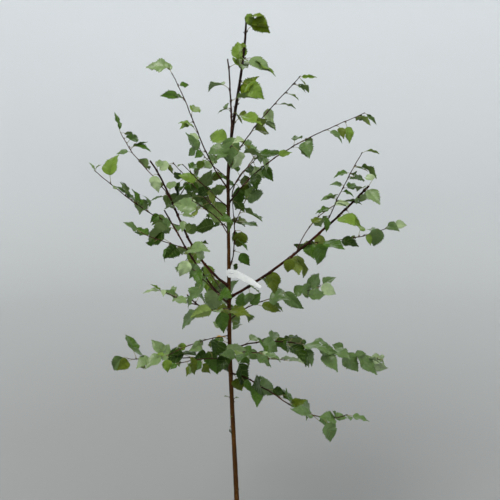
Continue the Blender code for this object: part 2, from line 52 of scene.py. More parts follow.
# parent, where it leaves the parent, bearing, swing, pitch, lift, arch, length, base diameter
LIMBS = {
    "bough_r1": ("stem", 0.589, -36, 8, 8, 27, -39, 0.359, 0.0042),
    "bough_r2": ("stem", 0.658, 20, -14, 18, -24, -22, 0.474, 0.0042),
    "twig_r3": ("stem", 0.637, -48, 6, 15, -6, 3, 0.205, 0.0030),
    "bough_r4": ("stem", 0.744, 38, -12, 34, -18, -23, 0.330, 0.0036),
    "bough_r5": ("stem", 0.810, -20, 10, 32, 16, 1, 0.478, 0.0078),
    "twig_r5a": ("bough_r5", 0.489, 48, 0, 64, -48, -10, 0.202, 0.0026),
    "twig_r5b": ("bough_r5", 0.682, -42, 0, 67, -9, 0, 0.211, 0.0028),
    "twig_r5c": ("bough_r5", 0.559, 24, -12, 5, 22, -11, 0.254, 0.0030),
    "bough_r6": ("stem", 0.895, 40, 20, 57, 35, 18, 0.198, 0.0036),
    "twig_r6a": ("bough_r6", 0.602, 20, 0, 65, -2, -1, 0.077, 0.0022),
    "twig_r6b": ("bough_r6", 0.985, 34, -10, 91, -44, -23, 0.138, 0.0026),
    "bough_r7": ("stem", 1.067, 26, -8, 53, -31, -10, 0.484, 0.0038),
    "bough_r8": ("stem", 1.154, -34, 14, 63, -19, -7, 0.295, 0.0032),
    "bough_l1": ("stem", 0.628, 158, 10, 0, -3, -7, 0.325, 0.0040),
    "twig_l2": ("stem", 0.701, 208, -10, 6, -27, -3, 0.180, 0.0028),
    "bough_l3": ("stem", 0.772, 232, -20, 10, 46, -8, 0.164, 0.0052),
    "twig_l3a": ("bough_l3", 0.742, 224, 0, 14, 10, 12, 0.121, 0.0028),
    "bough_l4": ("stem", 0.796, 212, -16, 41, 20, 8, 0.318, 0.0058),
    "twig_l4a": ("bough_l4", 0.639, 190, 0, 20, 10, -5, 0.121, 0.0026),
    "bough_l5": ("stem", 0.844, 163, 10, 27, 28, 24, 0.408, 0.0076),
    "twig_l5a": ("bough_l5", 0.514, 200, -10, 15, 25, 10, 0.270, 0.0030),
    "twig_l5b": ("bough_l5", 0.714, 142, 8, 47, 14, -15, 0.260, 0.0030),
    "twig_l5c": ("bough_l5", 0.667, 62, 10, 38, -21, 6, 0.242, 0.0032),
    "bough_l6": ("stem", 1.023, 140, 8, 30, 9, 4, 0.248, 0.0034),
    "bough_l7": ("stem", 1.060, 226, -14, 33, 10, 2, 0.175, 0.0032),
    "bough_l8": ("stem", 1.109, 192, -8, 50, 11, 13, 0.315, 0.0038),
    "twig_l9": ("stem", 1.135, 118, 10, 18, 31, -8, 0.201, 0.0026),
    "bough_s1": ("stem", 1.253, 196, 0, 87, -3, 2, 0.178, 0.0046),
    "twig_f1": ("stem", 0.645, -70, 8, 27, -12, 0, 0.215, 0.0030),
    "twig_f2": ("stem", 0.790, -110, -8, 33, 6, 0, 0.250, 0.0034),
    "twig_f3": ("stem", 0.778, -92, -8, 18, -10, 4, 0.180, 0.0030),
    "twig_f4": ("stem", 1.000, -116, -6, 32, -12, 4, 0.185, 0.0030),
    "twig_f5": ("stem", 1.165, -88, 6, 30, -30, 4, 0.170, 0.0028),
    "twig_f6": ("stem", 0.632, -132, 8, 20, -10, 0, 0.205, 0.0030),
    "twig_b1": ("stem", 0.985, 114, -6, 22, 4, 4, 0.310, 0.0032),
    "twig_b2": ("stem", 1.100, 66, 8, 24, -6, 4, 0.262, 0.0030),
    "twig_b3": ("stem", 0.800, 112, 6, 12, 4, 6, 0.325, 0.0034),
    "twig_b4": ("stem", 0.640, 96, -6, 10, -2, 6, 0.345, 0.0034),
}
# limbs whose tips were cut or broken off: they end blunt
BLUNT = {"bough_r5": 0.0050, "bough_l5": 0.0044, "bough_l3": 0.0034, "bough_l4": 0.0036, "bough_s1": 0.0034}


def smoothstep(a, b, x):
    t = min(max((x - a) / (b - a), 0.0), 1.0)
    return t * t * (3.0 - 2.0 * t)


def unit(v):
    v = np.asarray(v, float)
    return v / max(float(np.linalg.norm(v)), 1e-12)


def stem_point(h):
    x = SWEEP_LOW * smoothstep(0.0, 0.75, h) + LEAN_TOP * smoothstep(1.12, 1.54, h)
    y = BOW_DEPTH * math.sin(math.pi * min(max(h / 1.54, 0.0), 1.0) * 1.5)
    return np.array([x, y, SOIL_LEVEL + h])


def stem_radius(h):
    hs, ds = zip(*STEM_DIAMETERS)
    return 0.5 * float(np.interp(h, hs, ds))


def bearing(azimuth, pitch):
    a, p = math.radians(azimuth), math.radians(pitch)
    return np.array([math.cos(p) * math.cos(a), math.cos(p) * math.sin(a), math.sin(p)])


def grow(start, azimuth, swing, pitch, lift, arch, length, steps=24):
    pts = [np.array(start)]
    for i in range(steps):
        s = (i + 0.5) / steps
        d = bearing(azimuth + swing * s, pitch + lift * s + arch * 4.0 * s * (1.0 - s))
        pts.append(pts[-1] + d * length / steps)
    return np.array(pts)


def along(path, share):
    t = min(max(share, 0.0), 1.0) * (len(path) - 1)
    i = min(int(t), len(path) - 2)
    return path[i] + (path[i + 1] - path[i]) * (t - i)


def heading(path, share):
    t = min(max(share, 0.0), 1.0) * (len(path) - 1)
    i = min(int(t), len(path) - 2)
    return unit(path[i + 1] - path[i])


PATHS = {}
for name, (parent, at, az, swing, pitch, lift, arch, length, d0) in LIMBS.items():
    start = stem_point(at) if parent == "stem" else along(PATHS[parent], at)
    PATHS[name] = grow(start, az, swing, pitch, lift, arch, length)
LEADER_FROM = 1.205
PATHS["leader"] = np.array([stem_point(h) for h in np.linspace(LEADER_FROM, STEM_TOP, 25)])


def limb_length(name):
    return STEM_TOP - LEADER_FROM if name == "leader" else LIMBS[name][7]


def limb_radius(name, share):
    if name == "leader":
        return stem_radius(LEADER_FROM + share * (STEM_TOP - LEADER_FROM))
    d0 = LIMBS[name][8]
    tip = BLUNT.get(name, 0.0020)
    return 0.5 * (d0 + (tip - d0) * share ** 1.15)


# Where the leaves sit.  Each limb bears leaves one at a time on alternate sides.  Per limb: distance of
# the first leaf from the limb's base, spacing (both mm), blade length near the base and near the tip (mm),
# how far the blades hang (0 level with the twig, 1 straight down), how much they turn their faces to the
# light at the front (0 to 1), how far the two ranks are rolled about the twig (degrees), and the seed.
FOLIAGE = {
    "bough_r1": (15, 22, 74, 45, 0.16, 0.47, 33, 7657,
        (2806, 2520, 122, 3776, 3579, 104, 81, 901, 3180, 3938, 3451, 216, 696, 3414, 818, 173, 169),
        ((23, 541), (60, 2822), (90, 2358), (98, 2066))),
    "bough_r2": (31, 22, 64, 55, 0.33, 0.32, -10, 2963,
        (851, 771, 1186, 3178, 979, 207, 185, 2647, 836, 2649, 3736, 3857, 30, 746, 2138, 1222, 233, 3746, 3613, 530, 282, 1511),
        ((32, 3626), (36, 1289), (45, 1294), (47, 2468), (97, 881))),
    "twig_r3": (90, 32, 34, 30, 0.05, 0.27, 35, 306,
        (1858, 3452, 2215, 1925, 2313),
        ()),
    "bough_r4": (45, 23, 74, 63, 0.05, 0.85, 16, 695,
        (113, 2422, 575, 2790, 3913, 1914, 1457, 1650, 491, 3596, 522, 807, 3946),
        ((11, 917),)),
    "bough_r5": (90, 62, 74, 31, 0.91, 0.48, -3, 9140,
        (3365, 3833, 667, 694, 436, 1719, 657),
        ((16, 3619), (19, 74), (43, 1659), (44, 3809), (83, 1210), (92, 338), (93, 2134), (94, 1688), (97, 872), (98, 2168))),
    "twig_r5a": (24, 54, 34, 42, 0.3, 0.0, 43, 6645,
        (800, 346, 422, 1881, 3810),
        ((60, 331),)),
    "twig_r5b": (39, 45, 38, 32, 0.43, 0.04, 18, 4302,
        (731, 86, 300, 2340, 755),
        ((16, 2390), (39, 2434), (69, 305), (73, 2775))),
    "twig_r5c": (14, 37, 56, 37, 0.53, 0.49, 35, 3164,
        (527, 219, 319, 202, 92, 579, 2803, 724),
        ((60, 1683), (77, 2866))),
    "bough_r6": (25, 56, 44, 49, 0.63, 0.85, -49, 4936,
        (3936, 477, 2616, 155),
        ((7, 538), (35, 1952), (49, 1747), (69, 571))),
    "twig_r6a": (55, 22, 74, 66, 0.43, 0.15, 2, 4790,
        (1067, 137),
        ((16, 839), (42, 3535), (98, 3809))),
    "twig_r6b": (42, 24, 74, 48, 0.94, 0.66, 16, 6635,
        (176, 421, 3607, 3598, 821, 3533),
        ()),
    "bough_r7": (18, 35, 34, 49, 0.55, 0.51, 3, 8593,
        (355, 1052, 779, 646, 3146, 418, 894, 977, 2412, 2845, 3919, 3307, 242, 951, 992),
        ((28, 3450), (50, 2518))),
    "bough_r8": (39, 29, 37, 31, 0.12, 0.06, 0, 3956,
        (839, 1906, 221, 271, 99, 438, 241, 3205, 2234, 3079),
        ((93, 2403),)),
    "bough_l1": (51, 33, 61, 54, 0.19, 0.72, -36, 1111,
        (704, 660, 244, 3135, 329, 457, 3579, 537, 329, 3778),
        ((6, 3952), (83, 3086), (95, 1203))),
    "twig_l2": (22, 33, 49, 45, 0.18, 0.4, 11, 4349,
        (641, 935, 654, 1279, 29, 908),
        ((27, 2252), (98, 1706))),
    "bough_l3": (100, 40, 34, 66, 0.12, 0.25, -50, 3418,
        (1717, 1970),
        ((18, 2026), (59, 908))),
    "twig_l3a": (44, 33, 59, 37, 0.05, 0.11, -9, 798,
        (560, 21, 756),
        ((40, 2850), (56, 414))),
    "bough_l4": (152, 28, 49, 66, 0.56, 0.25, -36, 4887,
        (227, 575, 2077, 558, 1100, 27, 3370),
        ((54, 2891),)),
    "twig_l4a": (26, 22, 50, 30, 0.05, 0.85, 0, 260,
        (946, 1979, 828, 463, 234),
        ((34, 810), (98, 166))),
    "bough_l5": (175, 50, 34, 41, 0.43, 0.14, 0, 9140,
        (1772, 1412, 939, 1270, 580),
        ((22, 201), (35, 3880), (64, 1221), (92, 3237))),
    "twig_l5a": (23, 50, 34, 42, 0.05, 0.09, -46, 9590,
        (464, 968, 437, 1187, 261, 1747),
        ((37, 127), (39, 1675), (51, 1367), (56, 1625), (64, 3166), (78, 2611))),
    "twig_l5b": (20, 42, 34, 31, 0.21, 0.0, 20, 5643,
        (921, 3839, 143, 840, 900, 5, 3034),
        ((7, 1306), (73, 3772), (77, 3427), (92, 2477))),
    "twig_l5c": (28, 55, 46, 32, 0.06, 0.04, 9, 7276,
        (768, 1199, 417, 3184, 3044),
        ((79, 3427),)),
    "bough_l6": (71, 24, 65, 45, 0.58, 0.45, -15, 34,
        (874, 418, 2013, 462, 1097, 722, 162, 632, 411),
        ()),
    "bough_l7": (49, 33, 67, 32, 0.29, 0.0, 2, 634,
        (876, 1759, 468, 2264, 2926),
        ()),
    "bough_l8": (88, 52, 46, 42, 0.12, 0.85, 38, 3327,
        (3042, 263, 453, 2667, 3512, 3010),
        ((65, 3799), (78, 542), (98, 2650))),
    "twig_l9": (52, 22, 54, 45, 0.53, 0.71, -18, 37,
        (1121, 2852, 178, 1282, 991, 36, 523, 956),
        ()),
    "bough_s1": (31, 37, 47, 66, 0.35, 0.0, 21, 1652,
        (806, 2686, 816, 490),
        ((23, 3733), (28, 1838), (31, 336))),
    "twig_f1": (18, 22, 70, 56, 0.15, 0.74, -6, 5562,
        (183, 662, 1665, 2491, 2425, 818, 3311, 39, 2490, 234),
        ()),
    "twig_f2": (55, 52, 64, 53, 0.37, 0.77, 17, 1417,
        (842, 946, 413, 178, 973),
        ()),
    "twig_f3": (36, 40, 44, 66, 0.05, 0.85, 4, 1234,
        (635, 3752, 190, 1287, 1888),
        ((6, 3711),)),
    "twig_f4": (38, 40, 34, 57, 0.33, 0.72, 3, 8759,
        (78, 80, 3936, 810, 1849),
        ((19, 749),)),
    "twig_f5": (57, 25, 49, 51, 0.4, 0.85, 50, 9018,
        (1959, 2446, 194, 182, 2459, 555),
        ((32, 956),)),
    "twig_f6": (46, 22, 74, 30, 0.64, 0.11, -50, 1099,
        (964, 3782, 874, 26, 109, 1466, 82, 709, 17),
        ()),
    "twig_b1": (52, 27, 74, 66, 0.14, 0.0, -43, 9660,
        (1667, 884, 372, 1073, 2369, 2733, 615, 709, 98, 692, 3258),
        ()),
    "twig_b2": (55, 30, 58, 66, 0.05, 0.71, 7, 9573,
        (1126, 1662, 637, 1834, 837, 627, 2613, 394),
        ()),
    "twig_b3": (45, 35, 57, 66, 0.7, 0.67, -14, 8305,
        (571, 3355, 843, 485, 1405, 426, 1510, 1316, 3701),
        ()),
    "twig_b4": (55, 52, 42, 53, 0.13, 0.25, -42, 708,
        (181, 926, 51, 1810, 637, 1959, 2741),
        ((35, 3814),)),
    "leader": (35, 38, 67, 39, 0.45, 0.7, 50, 7995,
        (1911, 554, 1601, 1517, 176, 3169, 2463, 2697, 995),
        ((62, 1351), (67, 2990), (70, 2883), (79, 64), (89, 1932), (95, 1961))),
}
UP = np.array([0.0, 0.0, 1.0])
LIGHT = unit((0.15, -0.80, 0.60))       # the side that the leaves turn their faces to


def turned(v, axis, angle):
    """v turned about a unit axis"""
    c, s = math.cos(angle), math.sin(angle)
    return v * c + np.cross(axis, v) * s + axis * (np.dot(axis, v) * (1.0 - c))


def leaf_of(name, s, side, last, row, rng, loose):
    """one leaf at share s of a limb: petiole, blade axis, normal and sizes.  loose widens the spread of its stance"""
    first, gap, big, small, hang, face, roll, seed = row[:8]
    path = PATHS[name]
    p, d = along(path, s), heading(path, s)
    lateral = np.cross(d, UP)
    lateral = unit(lateral) if np.linalg.norm(lateral) > 0.2 else unit(np.cross(d, (0.0, 1.0, 0.0)))
    lift = np.cross(lateral, d)
    a = math.radians(roll) + rng.gauss(0.0, 0.35 * loose)
    outward = (lateral * math.cos(a) + lift * math.sin(a)) * side
    spread = math.radians(58.0 + rng.gauss(0.0, 10.0 * loose)) if not last else math.radians(abs(rng.gauss(0.0, 14.0 * loose)))
    pet_dir = unit(d * math.cos(spread) + outward * math.sin(spread))
    size = 0.001 * (big + (small - big) * s) * (1.0 + 0.13 * loose * max(-1.5, min(1.6, rng.gauss(0.0, 1.0))))
    size = min(max(size, 0.018), 0.078)
    if last:
        size *= 0.94
    pet = size * (0.30 + 0.12 * rng.random())
    h = min(max(hang + rng.gauss(0.0, 0.13 * loose), 0.0), 0.98)
    p1 = p + pet_dir * (limb_radius(name, s) + pet * 0.5)
    p2 = p1 + unit(pet_dir * (1.0 - 0.5 * h) - UP * 0.5 * h) * pet * 0.5
    axis = unit(pet_dir * (1.0 - h) - UP * h + np.array([rng.gauss(0, 0.12), rng.gauss(0, 0.12), rng.gauss(0, 0.10)]) * loose)
    n0 = UP * 1.0 + pet_dir * 0.45 * h
    n0 = unit(n0 - axis * np.dot(n0, axis))
    nf = LIGHT - axis * np.dot(LIGHT, axis)
    nf = unit(nf) if np.linalg.norm(nf) > 0.1 else n0
    f = min(max(face + rng.gauss(0.0, 0.16 * loose), 0.0), 1.0)
    normal = unit(n0 * (1.0 - f) + nf * f)
    normal = turned(normal, axis, rng.gauss(0.0, 0.34 * loose ** 0.5))
    return dict(limb=name, s=s, node=p, pet_dir=pet_dir, petiole=(p, p1, p2), base=p2, axis=axis,
                normal=normal, length=size, width=size * max(0.28, min(0.46, 0.375 + 0.045 * rng.gauss(0.0, 1.0))),
                fold=math.radians(12.0 + 24.0 * rng.random()), curl=math.radians(6.0 + 52.0 * rng.random() ** 1.3),
                twist=math.radians(rng.gauss(0.0, 26.0)), wave=0.025 + 0.035 * rng.random(),
                sickle=math.radians(rng.gauss(0.0, 13.0)), phase=rng.random() * 6.283, side=side,
                pick=rng.random(), seed=rng.randrange(1 << 30))


def leaves_on(name, row=None):
    """the leaves of one limb, in order from its base.  The last item of a limb's row names each leaf's own seed:
    0 takes the limb's, -1 leaves the node bare"""
    row = row or FOLIAGE[name]
    first, gap, big, small, hang, face, roll, seed = row[:8]
    own = row[8] if len(row) > 8 else ()
    rng = random.Random(seed * 977 + 13)
    length = limb_length(name)
    out, k = [], 0
    side = 1.0 if rng.random() < 0.5 else -1.0
    t = first * 0.001 * (0.9 + 0.2 * rng.random())
    while True:
        last = t > length - 0.35 * gap * 0.001
        s = min(t / length, 1.0)
        if last:
            if name in BLUNT and name != "leader":
                break
            s = 1.0
        leaf = leaf_of(name, s, side, last, row, rng, 1.0)
        mine = own[k] if k < len(own) else 0
        if mine > 0:
            r2 = random.Random(seed * 977 + 101 * k + 7919 * mine)
            shift = 0.0 if last else 0.45 * gap * 0.001 / length * (2.0 * r2.random() - 1.0)
            flip = 1.0 if r2.random() < 0.7 else -1.0
            leaf = leaf_of(name, min(max(s + shift, 0.03), 1.0), side * flip, last, row, r2, 2.2)
        if mine >= 0:
            leaf["k"] = k
            out.append(leaf)
        k += 1
        if last:
            break
        side = -side
        t += 0.001 * gap * (1.0 + 0.30 * (rng.random() - 0.5)) * (1.08 - 0.22 * s)
    # leaves that sit in twos: a second one beside a node, as (hundredths of the limb's length, its own seed)
    for share, mine in (row[9] if len(row) > 9 else ()):
        r2 = random.Random(seed * 977 + 31 * share + 7919 * mine)
        end = share >= 98
        leaf = leaf_of(name, 1.0 if end else share * 0.01, 1.0 if r2.random() < 0.5 else -1.0, end, row, r2, 2.2)
        leaf["k"] = (share, mine)
        out.append(leaf)
    return out


# outline of the blade: (share of its length, share of its full half width).  A rounded base that is broadest
# a third of the way up, convex sides, then a drawn-out tip
OUTLINE = ((0.00, 0.03), (0.02, 0.23), (0.05, 0.45), (0.10, 0.69), (0.16, 0.87), (0.22, 0.96), (0.29, 1.00),
           (0.37, 0.98), (0.46, 0.915), (0.56, 0.79), (0.66, 0.61), (0.75, 0.42), (0.83, 0.25), (0.90, 0.12),
           (0.955, 0.045), (1.00, 0.008))


def half_width(y):
    return np.interp(np.asarray(y, float), *zip(*OUTLINE))


def blade(leaf, x, y):
    """points of a blade in space: x is the share of the half width (-1 to 1), times its outline, already
    in metres across the blade; y is the share of the length"""
    x, y = np.asarray(x, float), np.asarray(y, float)
    L, c = leaf["length"], leaf["curl"]
    a, n = leaf["axis"], leaf["normal"]
    b = np.cross(a, n)
    th = c * y + 0.9 * c * np.clip(y - 0.72, 0.0, 1.0) ** 2 * 3.5
    # midrib: its slope grows evenly towards the tip
    steps = np.linspace(0.0, 1.0, 41)
    ts = c * steps + 0.9 * c * np.clip(steps - 0.72, 0.0, 1.0) ** 2 * 3.5
    along_a = np.concatenate([[0.0], np.cumsum(np.cos((ts[1:] + ts[:-1]) / 2.0))]) / 40.0
    along_n = np.concatenate([[0.0], np.cumsum(-np.sin((ts[1:] + ts[:-1]) / 2.0))]) / 40.0
    ma, mn = np.interp(y, steps, along_a) * L, np.interp(y, steps, along_n) * L
    sideways = math.tan(leaf["sickle"]) * L * 0.62 * y ** 2
    tang = np.cos(th)[..., None] * a - np.sin(th)[..., None] * n
    nn = np.sin(th)[..., None] * a + np.cos(th)[..., None] * n
    tw = leaf["twist"] * (y - 0.3)
    bb = np.cos(tw)[..., None] * b + np.sin(tw)[..., None] * nn
    nn = -np.sin(tw)[..., None] * b + np.cos(tw)[..., None] * nn
    f = leaf["fold"] * (1.0 - 0.35 * y)
    ax = np.abs(x)
    rel = ax / max(leaf["width"], 1e-6)
    out = ax * np.cos(f) * np.sign(x)
    up = ax * np.sin(f) * (1.0 - 0.42 * rel) + leaf["wave"] * L * rel ** 2 * np.sin(2 * np.pi * 2.3 * y + leaf["phase"] + np.sign(x) * 0.8)
    return leaf["base"] + ma[..., None] * a + mn[..., None] * n + bb * (out + sideways)[..., None] + nn * up[..., None]


# ------------------------------------------------------------------ mesh helpers
class Soup:
    """collects vertices and faces of many small pieces, then makes one object of them"""

    def __init__(self):
        self.v, self.f, self.m, self.n = [], [], [], 0

    def add(self, verts, faces, mat=0):
        verts = np.asarray(verts, float).reshape(-1, 3)
        self.v.append(verts)
        faces = [tuple(int(i) + self.n for i in f) for f in faces]
        self.f.extend(faces)
        if np.isscalar(mat):
            self.m.extend([mat] * len(faces))
        else:
            self.m.extend(mat)
        self.n += len(verts)

    def make(self, name, materials, slot, smooth=60.0, replaces=()):
        me = bpy.data.meshes.new(name)
        me.from_pydata(np.concatenate(self.v).tolist(), [], self.f)
        me.polygons.foreach_set("material_index", self.m)
        for m in materials:
            me.materials.append(m)
        me.shade_smooth()
        if smooth < 180:
            me.set_sharp_from_angle(angle=math.radians(smooth))
        me.update()
        ob = bpy.data.objects.new(name, me)
        bpy.context.scene.collection.objects.link(ob)
        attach(ob, "root")
        if replaces:
            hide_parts(*replaces)
        return ob


def tube(points, radii, sides, frames=None, caps=True, jitter=None):
    """rings round a polyline; returns verts and faces of a closed tube"""
    pts = np.asarray(points, float)
    n = len(pts)
    d = np.gradient(pts, axis=0)
    d /= np.maximum(np.linalg.norm(d, axis=1), 1e-12)[:, None]
    ref = np.array([0.0, 0.0, 1.0]) if abs(d[0][2]) < 0.9 else np.array([1.0, 0.0, 0.0])
    u = unit(np.cross(d[0], ref))
    ang = 2.0 * np.pi * np.arange(sides) / sides
    verts = []
    for k in range(n):
        u = unit(u - d[k] * np.dot(u, d[k]))
        w = np.cross(d[k], u)
        r = radii[k]
        rr = np.full(sides, r) if jitter is None else r * jitter(k, ang)
        verts.append(pts[k] + np.outer(rr * np.cos(ang), u) + np.outer(rr * np.sin(ang), w))
    verts = np.concatenate(verts)
    faces = []
    for k in range(n - 1):
        a, b = k * sides, (k + 1) * sides
        for i in range(sides):
            j = (i + 1) % sides
            faces.append((a + i, a + j, b + j, b + i))
    if caps:
        faces.append(tuple(range(sides - 1, -1, -1)))
        faces.append(tuple((n - 1) * sides + i for i in range(sides)))
    return verts, faces


def lens(centre, out, wide, a, b, c, seg=7):
    """a small low dome: half axes a (along wide), b (across) and height c, sunk a little into the surface"""
    out, wide = unit(out), unit(wide - np.asarray(out) * np.dot(wide, out))
    tall = np.cross(out, wide)
    ang = 2.0 * np.pi * np.arange(seg) / seg
    ring = centre - out * c * 0.7 + np.outer(np.cos(ang) * a, wide) + np.outer(np.sin(ang) * b, tall)
    mid = centre + out * c * 0.55 + np.outer(np.cos(ang) * a * 0.62, wide) + np.outer(np.sin(ang) * b * 0.62, tall)
    v = np.concatenate([ring, mid, [centre + out * c, centre - out * c * 0.9]])
    f = []
    for i in range(seg):
        j = (i + 1) % seg
        f += [(i, j, seg + j, seg + i), (seg + i, seg + j, 2 * seg), (j, i, 2 * seg + 1)]
    return v, f


def bud(base, direction, length, radius, seg=7):
    """a pointed ovoid bud"""
    d = unit(direction)
    prof = ((0.0, 0.55), (0.18, 0.92), (0.40, 1.0), (0.65, 0.74), (0.86, 0.36), (1.0, 0.05))
    pts = [base + d * length * z for z, _ in prof]
    return tube(pts, [radius * r for _, r in prof], seg)


# ------------------------------------------------------------------ materials
def nodes_of(name):
    m = bpy.data.materials.new(name)
    m.use_nodes = True
    nt = m.node_tree
    return m, nt, nt.nodes["Principled BSDF"]


def noise_node(nt, scale, detail=3.0, rough=0.55, coords=None, stretch=None, distortion=0.0):
    tc = nt.nodes.new("ShaderNodeTexCoord")
    src = tc.outputs["Object"]
    if stretch is not None:
        mp = nt.nodes.new("ShaderNodeMapping")
        mp.inputs["Scale"].default_value = stretch
        nt.links.new(src, mp.inputs["Vector"])
        src = mp.outputs["Vector"]
    n = nt.nodes.new("ShaderNodeTexNoise")
    n.inputs["Scale"].default_value = scale
    n.inputs["Detail"].default_value = detail
    n.inputs["Roughness"].default_value = rough
    n.inputs["Distortion"].default_value = distortion
    nt.links.new(src, n.inputs["Vector"])
    return n


def ramp(nt, src, stops):
    r = nt.nodes.new("ShaderNodeValToRGB")
    e = r.color_ramp.elements
    while len(e) < len(stops):
        e.new(0.5)
    for el, (p, c) in zip(e, stops):
        el.position = p
        el.color = (*c, 1.0) if len(c) == 3 else c
    nt.links.new(src, r.inputs["Fac"])
    return r


def srgb(r, g, b):
    """a colour given as 0-255 screen values"""
    def lin(c):
        c /= 255.0
        return c / 12.92 if c <= 0.04045 else ((c + 0.055) / 1.055) ** 2.4
    return lin(r), lin(g), lin(b)


def shade(c, k):
    return tuple(min(max(x * k, 0.0), 1.0) for x in c)


def leaf_material(name, colour, rough=0.40, spec=0.55, spread=0.12):
    """a leaf surface: one plain colour with a very slight mottle, a soft cuticle gloss and a fine cell grain"""
    m, nt, b = nodes_of(name)
    n = noise_node(nt, 85.0, 2.0)
    r = ramp(nt, n.outputs["Fac"], ((0.30, shade(colour, 1.0 - spread)), (0.70, shade(colour, 1.0 + spread))))
    nt.links.new(r.outputs["Color"], b.inputs["Base Color"])
    n2 = noise_node(nt, 320.0, 2.0)
    mr = nt.nodes.new("ShaderNodeMapRange")
    mr.inputs["To Min"].default_value, mr.inputs["To Max"].default_value = rough - 0.06, rough + 0.08
    nt.links.new(n2.outputs["Fac"], mr.inputs["Value"])
    nt.links.new(mr.outputs["Result"], b.inputs["Roughness"])
    b.inputs["Specular IOR Level"].default_value = spec
    n3 = noise_node(nt, 1400.0, 2.0)
    bp = nt.nodes.new("ShaderNodeBump")
    bp.inputs["Strength"].default_value = 0.18
    bp.inputs["Distance"].default_value = 0.0002
    nt.links.new(n3.outputs["Fac"], bp.inputs["Height"])
    nt.links.new(bp.outputs["Normal"], b.inputs["Normal"])
    return m


# plain leaf colours, dealt out by spray: upper side, under side, and how much sky the upper side mirrors. Some tones
# carry painted light as well as the leaves' own colour: deep is partly painted shade for leaves inside the crown,
# bright is partly a painted glow for leaves lit from behind at the top, and grey, sage and pale are partly a painted
# sky sheen; mid, olive, lime and yellow are the leaves' own colours
TONES = {
    # bright: yellow green of new growth, made lighter still as a painted glow of leaves lit from behind
    "bright": ((86, 106, 9), (114, 128, 46), 0.15),
    "lime": ((100, 126, 42), (124, 144, 74), 0.20),
    # pale, sage and grey: grey greens with a painted sky sheen laid into the colour
    "pale": ((146, 164, 118), (156, 172, 134), 0.34),
    "sage": ((107, 129, 76), (130, 148, 102), 0.48),
    "olive": ((80, 94, 20), (106, 120, 52), 0.16),
    "mid": ((60, 89, 20), (94, 116, 58), 0.20),
    "grey": ((78, 103, 48), (110, 130, 78), 0.40),
    # deep: dark green of older leaves, made darker as painted shade inside the crown
    "deep": ((35, 56, 4), (68, 90, 32), 0.13),
    "yellow": ((204, 152, 50), (190, 158, 86), 0.2),
}
LEAF_MATS = {}
for tone, (top, under, mirror) in TONES.items():
    LEAF_MATS[tone] = (leaf_material("leaf_upper_" + tone, srgb(*top), spec=mirror),
                       leaf_material("leaf_under_" + tone, srgb(*under), rough=0.60, spec=0.15))
VEIN = leaf_material("leaf_vein", srgb(118, 138, 76), rough=0.55, spec=0.2, spread=0.06)
PETIOLE = leaf_material("petiole", srgb(126, 118, 66), rough=0.45, spec=0.4, spread=0.08)


def bark_material(name, low, high, red, rough=0.42, dusk=None):
    """smooth young bark: fine fibres along the stem, cloudy tone shifts and a waxy gloss.  dusk = (from height,
    to height, colour): the newest wood towards the top is darker"""
    m, nt, b = nodes_of(name)
    cloud = noise_node(nt, 26.0, 5.0, 0.6, stretch=(1.0, 1.0, 0.35))
    r1 = ramp(nt, cloud.outputs["Fac"], ((0.28, low), (0.52, red), (0.74, high)))
    tone = r1.outputs["Color"]
    if dusk is not None:
        tc = nt.nodes.new("ShaderNodeTexCoord")
        xyz = nt.nodes.new("ShaderNodeSeparateXYZ")
        nt.links.new(tc.outputs["Object"], xyz.inputs["Vector"])
        up = nt.nodes.new("ShaderNodeMapRange")
        up.inputs["From Min"].default_value, up.inputs["From Max"].default_value = dusk[0], dusk[1]
        nt.links.new(xyz.outputs["Z"], up.inputs["Value"])
        dim = nt.nodes.new("ShaderNodeMix")
        dim.data_type = "RGBA"
        dim.blend_type = "MULTIPLY"
        nt.links.new(up.outputs["Result"], dim.inputs["Factor"])
        nt.links.new(tone, dim.inputs["A"])
        dim.inputs["B"].default_value = (*dusk[2], 1.0)
        tone = dim.outputs["Result"]
    fib = noise_node(nt, 420.0, 4.0, 0.6, stretch=(1.0, 1.0, 0.08))
    r2 = ramp(nt, fib.outputs["Fac"], ((0.30, (0.72, 0.72, 0.72)), (0.72, (1.0, 1.0, 1.0))))
    mix = nt.nodes.new("ShaderNodeMix")
    mix.data_type = "RGBA"
    mix.blend_type = "MULTIPLY"
    mix.inputs["Factor"].default_value = 0.8
    nt.links.new(tone, mix.inputs["A"])
    nt.links.new(r2.outputs["Color"], mix.inputs["B"])
    nt.links.new(mix.outputs["Result"], b.inputs["Base Color"])
    mr = nt.nodes.new("ShaderNodeMapRange")
    mr.inputs["To Min"].default_value, mr.inputs["To Max"].default_value = rough - 0.10, rough + 0.16
    nt.links.new(fib.outputs["Fac"], mr.inputs["Value"])
    nt.links.new(mr.outputs["Result"], b.inputs["Roughness"])
    b.inputs["Specular IOR Level"].default_value = 0.10
    bp = nt.nodes.new("ShaderNodeBump")
    bp.inputs["Strength"].default_value = 0.35
    bp.inputs["Distance"].default_value = 0.0003
    nt.links.new(fib.outputs["Fac"], bp.inputs["Height"])
    nt.links.new(bp.outputs["Normal"], b.inputs["Normal"])
    return m


BARK = bark_material("bark_stem", srgb(42, 23, 3), srgb(112, 72, 22), srgb(72, 43, 8), rough=0.44,
                     dusk=(1.10, 1.46, (0.17, 0.12, 0.13)))
BARK_LIMB = bark_material("bark_limb", srgb(24, 9, 4), srgb(84, 42, 22), srgb(48, 20, 10), rough=0.46)
TWIG = bark_material("bark_twig", srgb(36, 17, 11), srgb(96, 56, 38), srgb(60, 31, 21), rough=0.48)
LENTICEL = leaf_material("lenticel", srgb(158, 132, 104), rough=0.75, spec=0.2, spread=0.18)
BUD = leaf_material("bud", srgb(44, 30, 20), rough=0.4, spec=0.5, spread=0.2)
CUT_WOOD = leaf_material("cut_wood", srgb(150, 122, 88), rough=0.8, spec=0.2, spread=0.25)
